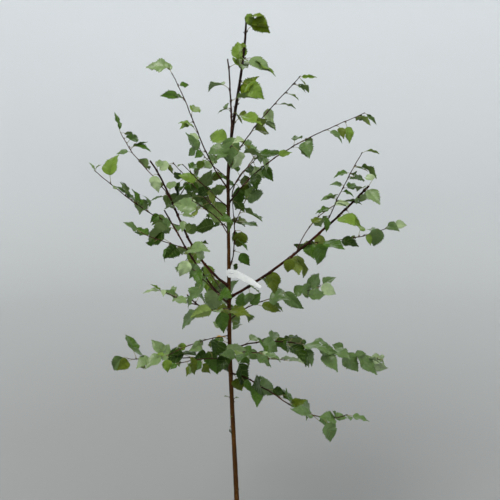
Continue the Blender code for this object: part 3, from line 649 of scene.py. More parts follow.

# ------------------------------------------------------------------ leaves
# Colours are dealt out by spray.  A limb's leaves are oldest and deepest near its base and youngest and lightest at
# its tip, and the newest growth at the top is yellow green; the deeper tones near the base are also painted shade for
# the inside of the crown, and the bright top tone is also a painted glow for leaves lit from behind.  Each spray of a
# few leaves draws one tone.
# d deep, m mid green, g grey green, s sage, p pale, o olive, l lime, b bright yellow green
AGES = {"old_and_shaded": "ddmmmgo", "grown": "mmmgggsol", "young": "mgglsp", "newest_and_backlit": "bbblg"}
LETTER = {"p": "pale", "s": "sage", "d": "deep", "m": "mid", "g": "grey", "o": "olive", "l": "lime", "b": "bright",
          "y": "yellow"}
NEAR = {"deep": ("deep", "mid"), "mid": ("mid", "grey", "olive", "deep"), "grey": ("grey", "mid", "sage"),
        "sage": ("sage", "grey"), "olive": ("olive", "mid"), "lime": ("lime", "sage"), "bright": ("bright", "lime"),
        "pale": ("pale", "sage"), "yellow": ("yellow",)}
GROUP_TONES = {"light": ("bright", "lime", "pale", "yellow"), "sage": ("sage", "grey"), "mid": ("mid", "olive"),
               "deep": ("deep",)}
GROUP = {tone: group for group, tones in GROUP_TONES.items() for tone in tones}
GROUP_SLOT = {"light": "leaf_light", "sage": "leaf_mid", "mid": "leaf_mid", "deep": "leaf_deep"}


def tone_of(leaf):
    if leaf.get("tone"):
        return leaf["tone"]
    # place along the limb picks the tones: near the base the deep tone is partly painted shade, and on the leader the
    # bright tone is partly a painted glow of backlit leaves
    age = "old_and_shaded" if leaf["s"] < 0.35 else "grown" if leaf["s"] < 0.85 else "young"
    if leaf["limb"] == "leader":
        age = "newest_and_backlit"
    draw = random.Random("%s %d" % (leaf["limb"], int(leaf["s"] * 4.0)))
    tone = LETTER[draw.choice(AGES[age])]
    if leaf["pick"] > 0.80:
        near = NEAR[tone]
        tone = near[int((leaf["pick"] - 0.80) / 0.2001 * len(near))]
    return tone


ROWS = 36
Q = np.array([-1.0, -0.70, -0.34, 0.0, 0.34, 0.70, 1.0])
NC = len(Q)
TOOTH = np.array([1.0, -0.55, 0.42, -0.50, 0.55, -0.80])    # a large tooth at each side vein, small ones between
QUILT = np.array([0.12, 0.85, 1.0, 0.0, 1.0, 0.85, 0.12])
GRID_FACES = []
for r in range(ROWS):
    for c in range(NC - 1):
        GRID_FACES.append((r * NC + c, r * NC + c + 1, (r + 1) * NC + c + 1, (r + 1) * NC + c))
N1 = (ROWS + 1) * NC
RIM = [(0, c) for c in range(NC)] + [(r, NC - 1) for r in range(1, ROWS + 1)] + \
      [(ROWS, c) for c in range(NC - 2, -1, -1)] + [(r, 0) for r in range(ROWS - 1, 0, -1)]
RIM = [r * NC + c for r, c in RIM]
LEAF_FACES = list(GRID_FACES) + [tuple(i + N1 for i in reversed(f)) for f in GRID_FACES]
for i, j in zip(RIM, RIM[1:] + RIM[:1]):
    LEAF_FACES.append((j, i, i + N1, j + N1))
N_UP = len(GRID_FACES)
LEAF_SIDE = [0] * N_UP + [1] * N_UP + [0] * len(RIM)
BLADE_T = 0.00028


def leaf_surface(leaf):
    """grid points and unit normals of the blade's middle surface"""
    rng = random.Random(leaf["seed"])
    ym = np.arange(ROWS + 1) / ROWS
    sweep = 0.19 + 0.05 * rng.random()
    aq = np.abs(Q)[None, :]
    Y = ym[:, None] + sweep * np.sin(np.pi * ym)[:, None] * aq
    half = half_width(Y)
    side_w = np.where(Q < 0, 1.0 - 0.05 * rng.random(), 1.0 + 0.04 * (rng.random() - 0.5))[None, :]
    X = Q[None, :] * side_w * half * leaf["width"]
    X = np.where(aq > 0, np.sign(Q)[None, :] * np.maximum(np.abs(X), aq * 0.00028), 0.0)
    shift = 3 if rng.random() < 0.7 else 2
    rows = np.arange(ROWS + 1)
    amp = np.clip((ym - 0.07) / 0.14, 0.0, 1.0) * np.clip((1.0 - ym) / 0.05, 0.0, 1.0)
    depth = (0.115 + 0.045 * rng.random()) * leaf["width"]
    jag = np.array([0.75 + 0.5 * rng.random() for _ in range(2 * (ROWS + 1))]).reshape(2, -1)
    for c, off, k in ((0, shift, 0), (NC - 1, 0, 1)):
        tooth = TOOTH[(rows + off) % 6] * jag[k] * amp
        X[:, c] += np.sign(Q[c]) * tooth * depth * (0.55 + 0.45 * half[:, c])
        Y[:, c] += np.clip(tooth, 0.0, 1.0) * 0.020
    Y = np.clip(Y, 0.0, 1.0)
    Y = Y + (0.03 + 0.06 * rng.random()) * np.clip((Y - 0.88) / 0.12, 0.0, 1.0) ** 2     # the drawn-out tip
    P = blade(leaf, X, Y)
    dq = np.gradient(P, axis=1)
    dy = np.gradient(P, axis=0)
    N = np.cross(dq, dy)
    N /= np.maximum(np.linalg.norm(N, axis=2), 1e-12)[..., None]
    phase = np.where(Q[None, :] < 0, ((rows[:, None] + shift) % 6) / 6.0, (rows[:, None] % 6) / 6.0)
    quilt = 0.0150 * leaf["length"] * np.sin(np.pi * phase) * QUILT[None, :] * np.clip(half / 0.5, 0.0, 1.0)
    beat, turn = 1.6 + 1.5 * rng.random(), 6.3 * rng.random()
    ripple = 0.030 * leaf["length"] * np.sin(6.283 * beat * ym[:, None] + turn + 0.9 * Q[None, :]) * aq ** 2.5
    ripple = ripple * np.clip(half / 0.6, 0.0, 1.0)
    P = P + N * (quilt + ripple)[..., None]
    return P, N, shift


leaf_soups = {}
leaf_limbs = {}
stalks = Soup()
all_leaves = []


VEIN_FACES = [(4 * k + i, 4 * k + (i + 1) % 4, 4 * k + 4 + (i + 1) % 4, 4 * k + 4 + i) for k in range(3) for i in range(4)]
VEIN_FACES += [(3, 2, 1, 0), (12, 13, 14, 15)]


def ridge(points, normals, radii):
    """a side vein: a low closed ridge that stands out a little on both faces of the blade"""
    p, n = np.array(points), np.array(normals)
    d = np.gradient(p, axis=0)
    a = np.cross(n, d)
    a /= np.maximum(np.linalg.norm(a, axis=1), 1e-12)[:, None]
    r = np.array(radii)[:, None]
    return np.stack([p + n * r, p + a * r * 1.25, p - n * r, p - a * r * 1.25], axis=1).reshape(-1, 3), VEIN_FACES


def add_leaf(leaf):
    tone = tone_of(leaf)
    group = GROUP[tone]
    soup = leaf_soups.setdefault(group, Soup())
    leaf_limbs.setdefault(group, set()).add(leaf["limb"])
    k = GROUP_TONES[group].index(tone)
    P, N, shift = leaf_surface(leaf)
    up = (P + N * BLADE_T * 0.5).reshape(-1, 3)
    lo = (P - N * BLADE_T * 0.5).reshape(-1, 3)
    soup.add(np.concatenate([up, lo]), LEAF_FACES, [2 * k + m for m in LEAF_SIDE])
    # stalk, then the midrib under the blade
    p, p1, p2 = leaf["petiole"]
    r0 = leaf["length"] / 0.060
    start = p + leaf["pet_dir"] * limb_radius(leaf["limb"], leaf["s"]) * 0.45 if leaf["limb"] else p
    tt = np.linspace(0.0, 1.0, 9)[:, None]
    mid = 2 * p1 - 0.5 * (start + p2)
    curve = start * (1 - tt) ** 2 + 2 * mid * tt * (1 - tt) + p2 * tt ** 2
    rad = [(0.00110 - 0.00036 * min(t / 0.14, 1.0) - 0.00010 * t) * (0.70 + 0.30 * r0) for t in tt[:, 0]]
    v, f = tube(curve, rad, 6)
    stalks.add(v, f, 1)
    rib_rows = [0, 3, 7, 11, 15, 19, 23, 27, 31, 34]
    c0 = NC // 2
    rib = np.array([P[r, c0] - N[r, c0] * 0.00018 for r in rib_rows])
    rib = np.concatenate([[p2 - leaf["axis"] * 0.0008], rib])
    rr = [0.00060 * r0] + [(0.00056 - 0.00044 * r / 36.0) * (0.6 + 0.4 * r0) for r in rib_rows]
    v, f = tube(rib, rr, 5)
    stalks.add(v, f, 0)
    for side in (-1, 1):
        cols = (3, 4, 5, 6) if side > 0 else (3, 2, 1, 0)
        for r in range(6 if side > 0 else 6 - shift, 33, 6):
            if r < 3:
                continue
            pts = [P[r, c] for c in cols[:3]]
            pts.append(P[r, cols[2]] * 0.16 + P[r, cols[3]] * 0.84)
            w = 0.00034 * (0.55 + 0.45 * r0) * (1.0 - 0.35 * r / 36.0)
            v, f = ridge(pts, [N[r, c] for c in cols], [w, w * 0.92, w * 0.80, w * 0.52])
            stalks.add(v, f, 0)


for name in FOLIAGE:
    for leaf in leaves_on(name):
        all_leaves.append(leaf)
        add_leaf(leaf)

# small spurs on the bare lower stem: height, bearing, blade length, how far it hangs, tone
STEM_SPURS = (
    (0.512, 205, 0.013, 0.15, "bright"), (0.505, 20, 0.011, 0.30, "mid"), (0.420, 195, 0.024, 0.90, "deep"),
    (0.688, 200, 0.028, 0.10, "yellow"), (0.455, 250, 0.009, 0.20, "olive"), (0.735, 10, 0.020, 0.4, "mid"),
)
spur_twigs = []
for h, az, size, hang, tone in STEM_SPURS:
    rng = random.Random(int(h * 1000))
    d = bearing(az, 35.0)
    base = stem_point(h) + d * stem_radius(h) * 0.6
    tip = base + d * 0.006
    spur_twigs.append((base, d, tip))
    axis = unit(d * (1.0 - hang) - UP * hang + np.array([rng.gauss(0, 0.1), rng.gauss(0, 0.1), 0.0]))
    n = UP + d * 0.5
    n = unit(n - axis * np.dot(n, axis))
    p1 = tip + unit(d * (1 - hang) - UP * hang * 0.5) * size * 0.18
    p2 = p1 + axis * size * 0.14
    add_leaf(dict(limb="", s=0.0, node=tip, pet_dir=d, petiole=(tip, p1, p2), base=p2, axis=axis, normal=n,
                  length=size, width=size * 0.40, fold=0.35, curl=0.5, twist=0.0, wave=0.03, sickle=0.1, phase=1.0,
                  side=1.0, pick=0.0, seed=int(h * 5000), tone=tone))

# young leaves, still narrow and half folded, that stand on at growing tips: twig, length, tone, lean
UNFOLDING = (
    ("twig_l5b", 0.056, "mid", (0.10, 0.0, 0.45)), ("twig_l3a", 0.040, "pale", (-0.70, 0.0, -0.10)),
    ("twig_l3a", 0.030, "lime", (-0.20, -0.30, 0.70)), ("twig_l5a", 0.024, "sage", (0.20, 0.0, 0.90)),
    ("bough_r7", 0.046, "grey", (0.20, -0.10, -1.10)), ("bough_r8", 0.036, "lime", (0.60, -0.10, -0.80)),
)
for k, (limb, size, tone, lean) in enumerate(UNFOLDING):
    rng = random.Random(300 + k)
    tip, d = along(PATHS[limb], 1.0), heading(PATHS[limb], 1.0)
    axis = unit(d + np.array(lean))
    p1 = tip + unit(d * 2.0 + axis) * size * 0.10
    p2 = p1 + axis * size * 0.09
    n = unit(LIGHT - axis * np.dot(LIGHT, axis))
    add_leaf(dict(limb=limb, s=1.0, node=tip, pet_dir=d, petiole=(tip, p1, p2), base=p2, axis=axis,
                  normal=turned(n, axis, 0.5), length=size, width=size * 0.20, fold=0.95, curl=0.45, twist=0.5,
                  wave=0.06, sickle=0.15 * (-1) ** k, phase=rng.random() * 6.283, side=1.0, pick=0.0,
                  seed=rng.randrange(1 << 30), tone=tone))

# small leaves that turn their edges to the front: twig, first and last share, count, length, share of it that is
# half the width, tone, and the way that the left-hand and the right-hand ones point
LEVEL = (
    ("twig_r5b", 0.26, 0.82, 8, 0.034, 0.37, "grey", (-1.0, -0.15, 0.0), (1.0, -0.10, -0.05)),
    ("twig_l5a", 0.43, 0.56, 2, 0.047, 0.25, "mid", (-0.42, -0.10, 0.90), (-0.50, -0.10, 0.86)),
)
for limb, lo_s, hi_s, count, size, half, tone, left, right in LEVEL:
    for k in range(count):
        rng = random.Random(500 + 7 * k + len(limb) * count)
        s = lo_s + (hi_s - lo_s) * k / (count - 1)
        node, d = along(PATHS[limb], s), heading(PATHS[limb], s)
        long = size * (0.86 + 0.28 * rng.random())
        axis = unit(np.array(left if k % 2 == 0 else right) + np.array([rng.gauss(0, 0.10) for _ in range(3)]))
        pet = unit(axis + d * 0.7)
        p1 = node + pet * long * 0.10
        p2 = p1 + unit(axis + pet * 0.4) * long * 0.10
        n = unit(np.cross(axis, (0.0, 1.0, 0.0)))
        n = n * (1.0 if n[2] > 0 else -1.0) + np.array([0.0, -0.30, 0.0])
        n = unit(n + np.array([rng.gauss(0, 0.16) for _ in range(3)]))
        n = unit(n - axis * np.dot(n, axis))
        add_leaf(dict(limb=limb, s=s, node=node, pet_dir=pet, petiole=(node, p1, p2), base=p2, axis=axis, normal=n,
                      length=long, width=long * half, fold=0.35, curl=0.35 + 0.4 * rng.random(),
                      twist=rng.gauss(0, 0.35), wave=0.06, sickle=rng.gauss(0, 0.15), phase=rng.random() * 6.283,
                      side=1.0, pick=0.0, seed=rng.randrange(1 << 30), tone=tone if k % 3 else "mid"))

# ------------------------------------------------------------------ limbs and twigs
def smooth_path(path, n):
    """a smooth curve through the points of a path, at n + 1 even steps"""
    p = np.asarray(path)
    t = np.linspace(0.0, len(p) - 1.0, n + 1)
    i = np.clip(t.astype(int), 0, len(p) - 2)
    f = (t - i)[:, None]
    a, b = p[i], p[i + 1]
    ma = 0.5 * (p[np.clip(i + 1, 0, len(p) - 1)] - p[np.clip(i - 1, 0, len(p) - 1)])
    mb = 0.5 * (p[np.clip(i + 2, 0, len(p) - 1)] - p[np.clip(i, 0, len(p) - 1)])
    return (2 * f ** 3 - 3 * f ** 2 + 1) * a + (f ** 3 - 2 * f ** 2 + f) * ma + (-2 * f ** 3 + 3 * f ** 2) * b + (f ** 3 - f ** 2) * mb


limb_soups = {"boughs": Soup(), "twigs": Soup()}
marks = Soup()            # buds, lenticels, leaf scars and cut faces
by_limb = {}
for leaf in all_leaves:
    by_limb.setdefault(leaf["limb"], []).append(leaf)


def shade_side(p, axis):
    a = unit(np.cross(axis, UP + 0.01))
    return a


for name in LIMBS:
    L = limb_length(name)
    rng = random.Random(LIMBS[name][2] * 13 + int(L * 10000))
    thick = LIMBS[name][8] >= 0.0032
    sides = 14 if LIMBS[name][8] >= 0.005 else (11 if thick else 8)
    n = int(L / (0.0020 if thick else 0.0026))
    pts = smooth_path(PATHS[name], n)
    s = np.linspace(0.0, 1.0, n + 1)
    d = s * L
    nodes = [(q["s"], q["side"]) for q in by_limb.get(name, [])]
    # a slight zigzag from node to node, and a slow wander
    lateral = np.array([unit(np.cross(heading(PATHS[name], float(t)), UP) + 1e-6) for t in s])
    lift = np.cross(lateral, np.array([heading(PATHS[name], float(t)) for t in s]))
    zig = np.zeros(n + 1)
    if nodes:
        ks = sorted(nodes)
        xs = [0.0] + [k[0] for k in ks] + [1.001]
        zs = [0.0] + [k[1] * 0.00085 for k in ks] + [0.0]
        zig = np.interp(s, xs, zs)
    ph = [rng.random() * 6.283 for _ in range(6)]
    amp = 0.00035 * np.clip(d / 0.03, 0.0, 1.0)
    wander_a = amp * (np.sin(d * 95 + ph[0]) + 0.6 * np.sin(d * 210 + ph[1]))
    wander_b = amp * (np.sin(d * 85 + ph[2]) + 0.6 * np.sin(d * 190 + ph[3]))
    pts = pts + lateral * (zig + wander_a)[:, None] + lift * wander_b[:, None]
    rad = np.array([limb_radius(name, float(t)) for t in s])
    parent, at = LIMBS[name][:2]
    pr = stem_radius(at) if parent == "stem" else limb_radius(parent, at)
    pd = np.array([0.0, 0.0, 1.0]) if parent == "stem" else heading(PATHS[parent], at)
    sin_a = max(float(np.linalg.norm(np.cross(pd, heading(PATHS[name], 0.0)))), 0.35)
    out = d - pr / sin_a                       # distance outside the parent's bark
    rad = rad * (1.0 + 0.70 * np.exp(-np.clip(out, 0.0, None) / 0.0035)) * (1.0 + 0.10 * np.exp(-((out - 0.012) / 0.003) ** 2))
    for t, _ in nodes:
        rad = rad * (1.0 + 0.38 * np.exp(-((d - t * L) / 0.0018) ** 2) + 0.10 * np.exp(-((d - t * L - 0.003) / 0.0012) ** 2))
    rad = rad * (1.0 + 0.035 * np.sin(d * 330 + ph[4]) * np.sin(d * 71 + ph[5]))
    off = Vector((rng.random() * 50, rng.random() * 50, 0.0))
    ribs = 5 if thick else 3

    def relief(k, ang, d=d, off=off, ribs=ribs, ph=ph):
        z = float(d[k])
        return np.array([1.0 + 0.050 * noise.noise(Vector((math.cos(a) * 2.2, math.sin(a) * 2.2, z * 90)) + off)
                         + 0.035 * noise.noise(Vector((math.cos(a) * 5.0, math.sin(a) * 5.0, z * 420)) + off)
                         + 0.018 * math.cos(ribs * a + z * 30 + ph[4]) for a in ang])

    cut = name in BLUNT
    if not cut:
        rad[-3:] *= np.array([0.95, 0.85, 0.7])
    v, f = tube(pts, rad, sides, jitter=relief)
    soup = limb_soups["boughs" if name.startswith("bough") else "twigs"]
    soup.add(v, f, 0)
    if cut:
        # the pruned end: a slightly domed pale face with a darker pith
        dd = unit(pts[-1] - pts[-2])
        vv, ff = lens(pts[-1] + dd * 0.0001, dd, lateral[-1], rad[-1] * 0.90, rad[-1] * 0.90, 0.0004, 14)
        marks.add(vv, ff, 2)
        vv, ff = lens(pts[-1] + dd * 0.0004, dd, lateral[-1], rad[-1] * 0.18, rad[-1] * 0.18, 0.0003, 7)
        marks.add(vv, ff, 1)
    else:
        dd = unit(pts[-1] - pts[-4])
        vv, ff = bud(pts[-1] - dd * 0.0006, dd, 0.0058, 0.00150)
        marks.add(vv, ff, 1)
    # buds in the angles of the leaf stalks, with the scar's little shelf below
    for leaf in by_limb.get(name, []):
        if leaf["s"] > 0.985:
            continue
        hd = heading(PATHS[name], leaf["s"])
        r = limb_radius(name, leaf["s"])
        o = unit(leaf["pet_dir"] - hd * np.dot(leaf["pet_dir"], hd))
        b0 = leaf["node"] + hd * 0.0012 + o * r * 0.75
        vv, ff = bud(b0, unit(hd * 0.80 + o * 0.68), 0.0050 + 0.0018 * rng.random(), 0.00150, 6)
        marks.add(vv, ff, 1)
        vv, ff = lens(leaf["node"] + o * r * 0.95 - hd * 0.0007, o, hd, 0.0010, 0.0011, 0.0004, 6)
        marks.add(vv, ff, 1)
    # lenticels: small pale dots
    count = int(L * (330 if thick else 190))
    for _ in range(count):
        t = rng.uniform(min(0.9, (pr / sin_a + 0.004) / L), 0.97)
        k = int(t * n)
        hd = unit(pts[min(k + 1, n)] - pts[max(k - 1, 0)])
        a = rng.random() * 6.283
        o = unit(lateral[k] * math.cos(a) + lift[k] * math.sin(a))
        o = unit(o - hd * np.dot(o, hd))
        z = 0.00018 + 0.00016 * rng.random()
        vv, ff = lens(pts[k] + o * rad[k] * 0.99, o, hd, z * 1.5, z, 0.00013, 5)
        marks.add(vv, ff, 0)

for base, d, tip in spur_twigs:
    v, f = tube([base, base + (tip - base) * 0.3, base + (tip - base) * 0.6, tip], [0.0017, 0.0012, 0.0013, 0.0008], 8)
    limb_soups["twigs"].add(v, f, 0)
    vv, ff = bud(tip - d * 0.0008, unit(d + UP * 0.6), 0.0038, 0.0011)
    marks.add(vv, ff, 1)

# ------------------------------------------------------------------ stem
STEP_H = 0.0016
SIDES = 44
hs = np.concatenate([np.arange(-0.006, STEM_TOP - 0.004, STEP_H), [STEM_TOP - 0.004, STEM_TOP - 0.0025]])
ang = 2.0 * np.pi * np.arange(SIDES) / SIDES
rng = random.Random(77)
# bumps: (height, bearing in radians, how far out, half height, half width in radians)
bumps = []
for name, (parent, at, az, swing, pitch, lift_, arch, length, d0) in LIMBS.items():
    if parent == "stem":
        tall = 0.006 + 0.004 * math.sin(math.radians(pitch))
        bumps.append((at + 0.004 * math.tan(math.radians(min(pitch, 60))), math.radians(az), 0.34 * d0, tall, 0.62))
        bumps.append((at - 0.007, math.radians(az), 0.10 * d0, 0.006, 0.9))
z, a = 0.045, 0.6
scars = []
while z < 1.50:
    if min(abs(z - b[0]) for b in bumps) > 0.016:
        scars.append((z, a))
    z += 0.030 + 0.012 * rng.random()
    a += math.radians(137.5) + rng.gauss(0, 0.15)
for z, a in scars:
    bumps.append((z, a % 6.283, 0.00055 + 0.0002 * rng.random(), 0.0022, 0.34))
    bumps.append((z + 0.004, a % 6.283, 0.00030, 0.0030, 0.26))
FLARE_LOBES, FLARE_RISE = 5, 0.16
verts = []
for h in hs:
    c = stem_point(max(h, 0.0)) + np.array([0.0, 0.0, min(h, 0.0)])
    r = stem_radius(max(h, 0.0))
    d = np.array([0.0, 0.0, 1.0]) if h < 0.03 else unit(stem_point(h + 0.004) - stem_point(h - 0.004))
    u = unit(np.array([1.0, 0.0, 0.0]) - d * d[0])
    w = np.cross(d, u)
    flare = math.exp(-max(h, 0.0) / 0.016)
    rr = r * (1.0 + FLARE_RISE * flare * (0.35 + 0.65 * np.cos(FLARE_LOBES * ang + 0.7)))
    rr = rr * (1.0 + 0.022 * math.sin(h * 43.0 + 1.0) + 0.012 * math.sin(h * 131.0)
               + 0.030 * np.cos(2 * ang + h * 9.0) * min(1.0, 0.5 + h))
    rr = rr + np.array([0.00034 * noise.noise(Vector((math.cos(t) * 1.6, math.sin(t) * 1.6, h * 60.0)))
                        + 0.00022 * noise.noise(Vector((math.cos(t) * 6.5, math.sin(t) * 6.5, h * 22.0 + 9.0)))
                        + 0.00012 * noise.noise(Vector((math.cos(t) * 3.0, math.sin(t) * 3.0, h * 520.0 + 5.0)))
                        for t in ang])
    for hb, ab, out, tall, wide in bumps:
        dz = (h - hb) / tall
        if abs(dz) < 2.6:
            da = (ang - ab + math.pi) % (2.0 * math.pi) - math.pi
            rr = rr + out * math.exp(-dz * dz) * np.exp(-(da / wide) ** 2)
    verts.append(c + np.outer(rr * np.cos(ang), u) + np.outer(rr * np.sin(ang), w))
STEM_RINGS = np.array(verts)
faces = []
m = len(hs)
for k in range(m - 1):
    for i in range(SIDES):
        j = (i + 1) % SIDES
        faces.append((k * SIDES + i, k * SIDES + j, (k + 1) * SIDES + j, (k + 1) * SIDES + i))
faces.append(tuple(range(SIDES - 1, -1, -1)))
faces.append(tuple((m - 1) * SIDES + i for i in range(SIDES)))
stem = Soup()
stem.add(STEM_RINGS.reshape(-1, 3), faces, 0)
tip_d = unit(stem_point(STEM_TOP) - stem_point(STEM_TOP - 0.01))
vv, ff = bud(stem_point(STEM_TOP - 0.0032), tip_d, 0.0050, 0.0017, 9)
marks.add(vv, ff, 1)
# lenticels: short level dashes on the stem, rounder and smaller towards the top
for _ in range(1500):
    h = STEM_TOP * rng.random() ** 1.15 * 0.985 + 0.004
    k = int(min(max((h + 0.006) / STEP_H, 1), m - 3))
    i = rng.randrange(SIDES)
    p = STEM_RINGS[k, i]
    c = STEM_RINGS[k].mean(0)
    o = unit(p - c)
    tan = np.cross(UP, o)
    long = (0.00055 + 0.0010 * rng.random() ** 2) * (1.15 - 0.5 * h / STEM_TOP)
    vv, ff = lens(p - o * 0.00003, o, tan, long, 0.00024 + 0.00008 * rng.random(), 0.00020, 6)
    marks.add(vv, ff, 0)
# leaf scars, with the dried bud above each one higher than half a metre and above some of the lower ones
for z, a in scars:
    k = int((z + 0.006) / STEP_H)
    i = int(round((a % 6.283) / 6.2832 * SIDES)) % SIDES
    p = STEM_RINGS[min(k, m - 2), i]
    o = unit(p - STEM_RINGS[min(k, m - 2)].mean(0))
    vv, ff = lens(p, o, np.cross(UP, o), 0.0016, 0.0008, 0.0004, 9)
    marks.add(vv, ff, 1)
    if z > 0.5 or rng.random() < 0.4:
        vv, ff = bud(p + UP * 0.0012, unit(o * 0.75 + UP), 0.0034, 0.0011, 7)
        marks.add(vv, ff, 1)
for leaf in by_limb.get("leader", []):
    if leaf["s"] > 0.985:
        continue
    hd = heading(PATHS["leader"], leaf["s"])
    o = unit(leaf["pet_dir"] - hd * np.dot(leaf["pet_dir"], hd))
    r = limb_radius("leader", leaf["s"])
    vv, ff = bud(leaf["node"] + hd * 0.0015 + o * r * 0.9, unit(hd * 0.80 + o * 0.66), 0.0068, 0.0019, 8)
    marks.add(vv, ff, 1)

# ------------------------------------------------------------------ pieces of the plant
MASSES_OF = {"leader": ["leaves_leader_left", "leaves_leader_right"]}
mass_nodes = [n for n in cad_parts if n.startswith("leaves_")]


def masses_for(limbs):
    """the CAD masses that stand for the sprays on these limbs"""
    out = []
    for n in mass_nodes:
        key = n[len("leaves_"):]
        if key.startswith("leader"):
            owner = "leader"
        elif key == "r5_spurs":
            owner = "bough_r5"
        else:
            owner = "bough_" + key if "bough_" + key in LIMBS else "twig_" + key
        if owner in limbs:
            out.append(n)
    return out


for group, soup in leaf_soups.items():
    mats = []
    for tone in GROUP_TONES[group]:
        mats += list(LEAF_MATS[tone])
    soup.make("foliage_" + group, mats, GROUP_SLOT[group], smooth=55, replaces=masses_for(leaf_limbs[group]))
stalks.make("leaf_stalks_and_veins", [VEIN, PETIOLE], "leaf_light", smooth=80,
            replaces=mass_nodes)
limb_soups["boughs"].make("boughs_bark", [BARK_LIMB], "bark", smooth=70,
                          replaces=[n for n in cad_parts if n.startswith("bough_")])
limb_soups["twigs"].make("twigs_bark", [TWIG], "bark", smooth=80, replaces=mass_nodes)
stem.make("stem_bark", [BARK], "bark", smooth=70, replaces=["trunk"])
marks.make("buds_and_lenticels", [LENTICEL, BUD, CUT_WOOD], "bark", smooth=60)

# ------------------------------------------------------------------ pot
POT_H, POT_R, BASE_R, WALL = 0.250, 0.140, 0.106, 0.0022


def wall_r(z):
    return BASE_R + (POT_R - 0.0042 - BASE_R) * z / POT_H


def pot_profile():
    """(radius, height) from the middle of the underside, up the outside, over the rim and down inside"""
    p = [(0.0, 0.0), (0.030, 0.0), (0.0305, 0.0006), (0.0345, 0.0006), (0.035, 0.0), (0.066, 0.0), (0.0675, 0.0018),
         (0.0785, 0.0018), (0.080, 0.0), (BASE_R - 0.0050, 0.0), (BASE_R - 0.0028, 0.0004), (BASE_R - 0.0012, 0.0016),
         (BASE_R - 0.0004, 0.0034)]
    def band(z, step):
        return [(wall_r(z) - step, z), (wall_r(z) - step * 0.2, z + 0.0007), (wall_r(z + 0.002), z + 0.0018)]
    for z in (0.008, 0.016, 0.024):
        p.append((wall_r(z) - 0.0011, z))
    p += band(0.030, 0.0011)
    for z in np.linspace(0.040, 0.176, 15):
        p.append((wall_r(z), float(z)))
    p += [(wall_r(0.182), 0.182), (wall_r(0.1838) + 0.0010, 0.1838), (wall_r(0.187) + 0.0012, 0.187),
          (wall_r(0.1902) + 0.0010, 0.1902), (wall_r(0.192), 0.192), (wall_r(0.205), 0.205), (wall_r(0.218), 0.218)]
    skirt = POT_H - 0.022
    p += [(wall_r(skirt) - 0.0002, skirt - 0.0006), (POT_R - 0.0022, skirt - 0.0004), (POT_R - 0.0009, skirt + 0.0002),
          (POT_R - 0.0003, skirt + 0.0012), (POT_R - 0.0004, skirt + 0.006), (POT_R - 0.0008, skirt + 0.0066),
          (POT_R - 0.0008, skirt + 0.0082), (POT_R - 0.0003, skirt + 0.0090), (POT_R, POT_H - 0.0050)]
    for k in range(7):
        t = math.pi * k / 6.0
        p.append((POT_R - 0.0023 + 0.0023 * math.cos(t), POT_H - 0.0023 + 0.0023 * math.sin(t)))
    p += [(POT_R - 0.0050, POT_H - 0.0045), (wall_r(0.240) - WALL + 0.0010, 0.240), (wall_r(0.232) - WALL, 0.232)]
    for z in np.linspace(0.222, 0.012, 12):
        p.append((wall_r(z) - WALL, float(z)))
    p += [(wall_r(0.0) - WALL - 0.0012, 0.0082), (wall_r(0.0) - WALL - 0.006, 0.0062), (0.050, 0.0062), (0.0, 0.0062)]
    return p


def lathe(profile, sides, ripple=None):
    verts, rows = [], []
    for r, z in profile:
        if r < 1e-9:
            rows.append([len(verts)])
            verts.append((0.0, 0.0, z))
            continue
        rows.append(list(range(len(verts), len(verts) + sides)))
        for i in range(sides):
            t = 2.0 * math.pi * i / sides
            rr = r + (ripple(r, z, t) if ripple else 0.0)
            verts.append((rr * math.cos(t), rr * math.sin(t), z))
    faces = []
    for lo, hi in zip(rows, rows[1:]):
        for i in range(sides):
            j = (i + 1) % sides
            if len(lo) == 1:
                faces.append((lo[0], hi[j], hi[i]))
            elif len(hi) == 1:
                faces.append((lo[i], lo[j], hi[0]))
            else:
                faces.append((lo[i], lo[j], hi[j], hi[i]))
    return verts, faces


def pot_ripple(r, z, t):
    """thin moulded plastic is never quite round: a slow wave and four mould lines"""
    out = 0.00035 * math.sin(2 * t + 0.4) * z / POT_H + 0.00018 * math.sin(5 * t + 9.0 * z)
    inside = r < wall_r(z) - 0.5 * WALL
    if not inside and 0.04 < z < 0.222:
        for q in range(4):
            d = (t - q * math.pi / 2 - 0.35 + math.pi) % (2 * math.pi) - math.pi
            out += 0.00028 * math.exp(-(d / 0.010) ** 2)
    if z < 0.0036:
        out = 0.0
    return min(out, 0.0) if r > POT_R - 0.0035 else out


m, nt, b = nodes_of("pot_black_plastic")
big = noise_node(nt, 16.0, 5.0, 0.62)
r1 = ramp(nt, big.outputs["Fac"], ((0.36, srgb(25, 25, 26)), (0.60, srgb(36, 35, 35)), (0.76, srgb(62, 58, 53))))
nt.links.new(r1.outputs["Color"], b.inputs["Base Color"])
fine = noise_node(nt, 240.0, 4.0, 0.6)
mr = nt.nodes.new("ShaderNodeMapRange")
mr.inputs["From Min"].default_value, mr.inputs["From Max"].default_value = 0.3, 0.7
mr.inputs["To Min"].default_value, mr.inputs["To Max"].default_value = 0.30, 0.52
nt.links.new(fine.outputs["Fac"], mr.inputs["Value"])
nt.links.new(mr.outputs["Result"], b.inputs["Roughness"])
grain = noise_node(nt, 1500.0, 2.0, 0.5)
bp = nt.nodes.new("ShaderNodeBump")
bp.inputs["Strength"].default_value, bp.inputs["Distance"].default_value = 0.12, 0.0002
nt.links.new(grain.outputs["Fac"], bp.inputs["Height"])
nt.links.new(bp.outputs["Normal"], b.inputs["Normal"])
POT_MAT = m

v, f = lathe(pot_profile(), 160, pot_ripple)
me = bpy.data.meshes.new("nursery_pot")
me.from_pydata(v, [], f)
me.materials.append(POT_MAT)
pot = bpy.data.objects.new("nursery_pot", me)
bpy.context.scene.collection.objects.link(pot)
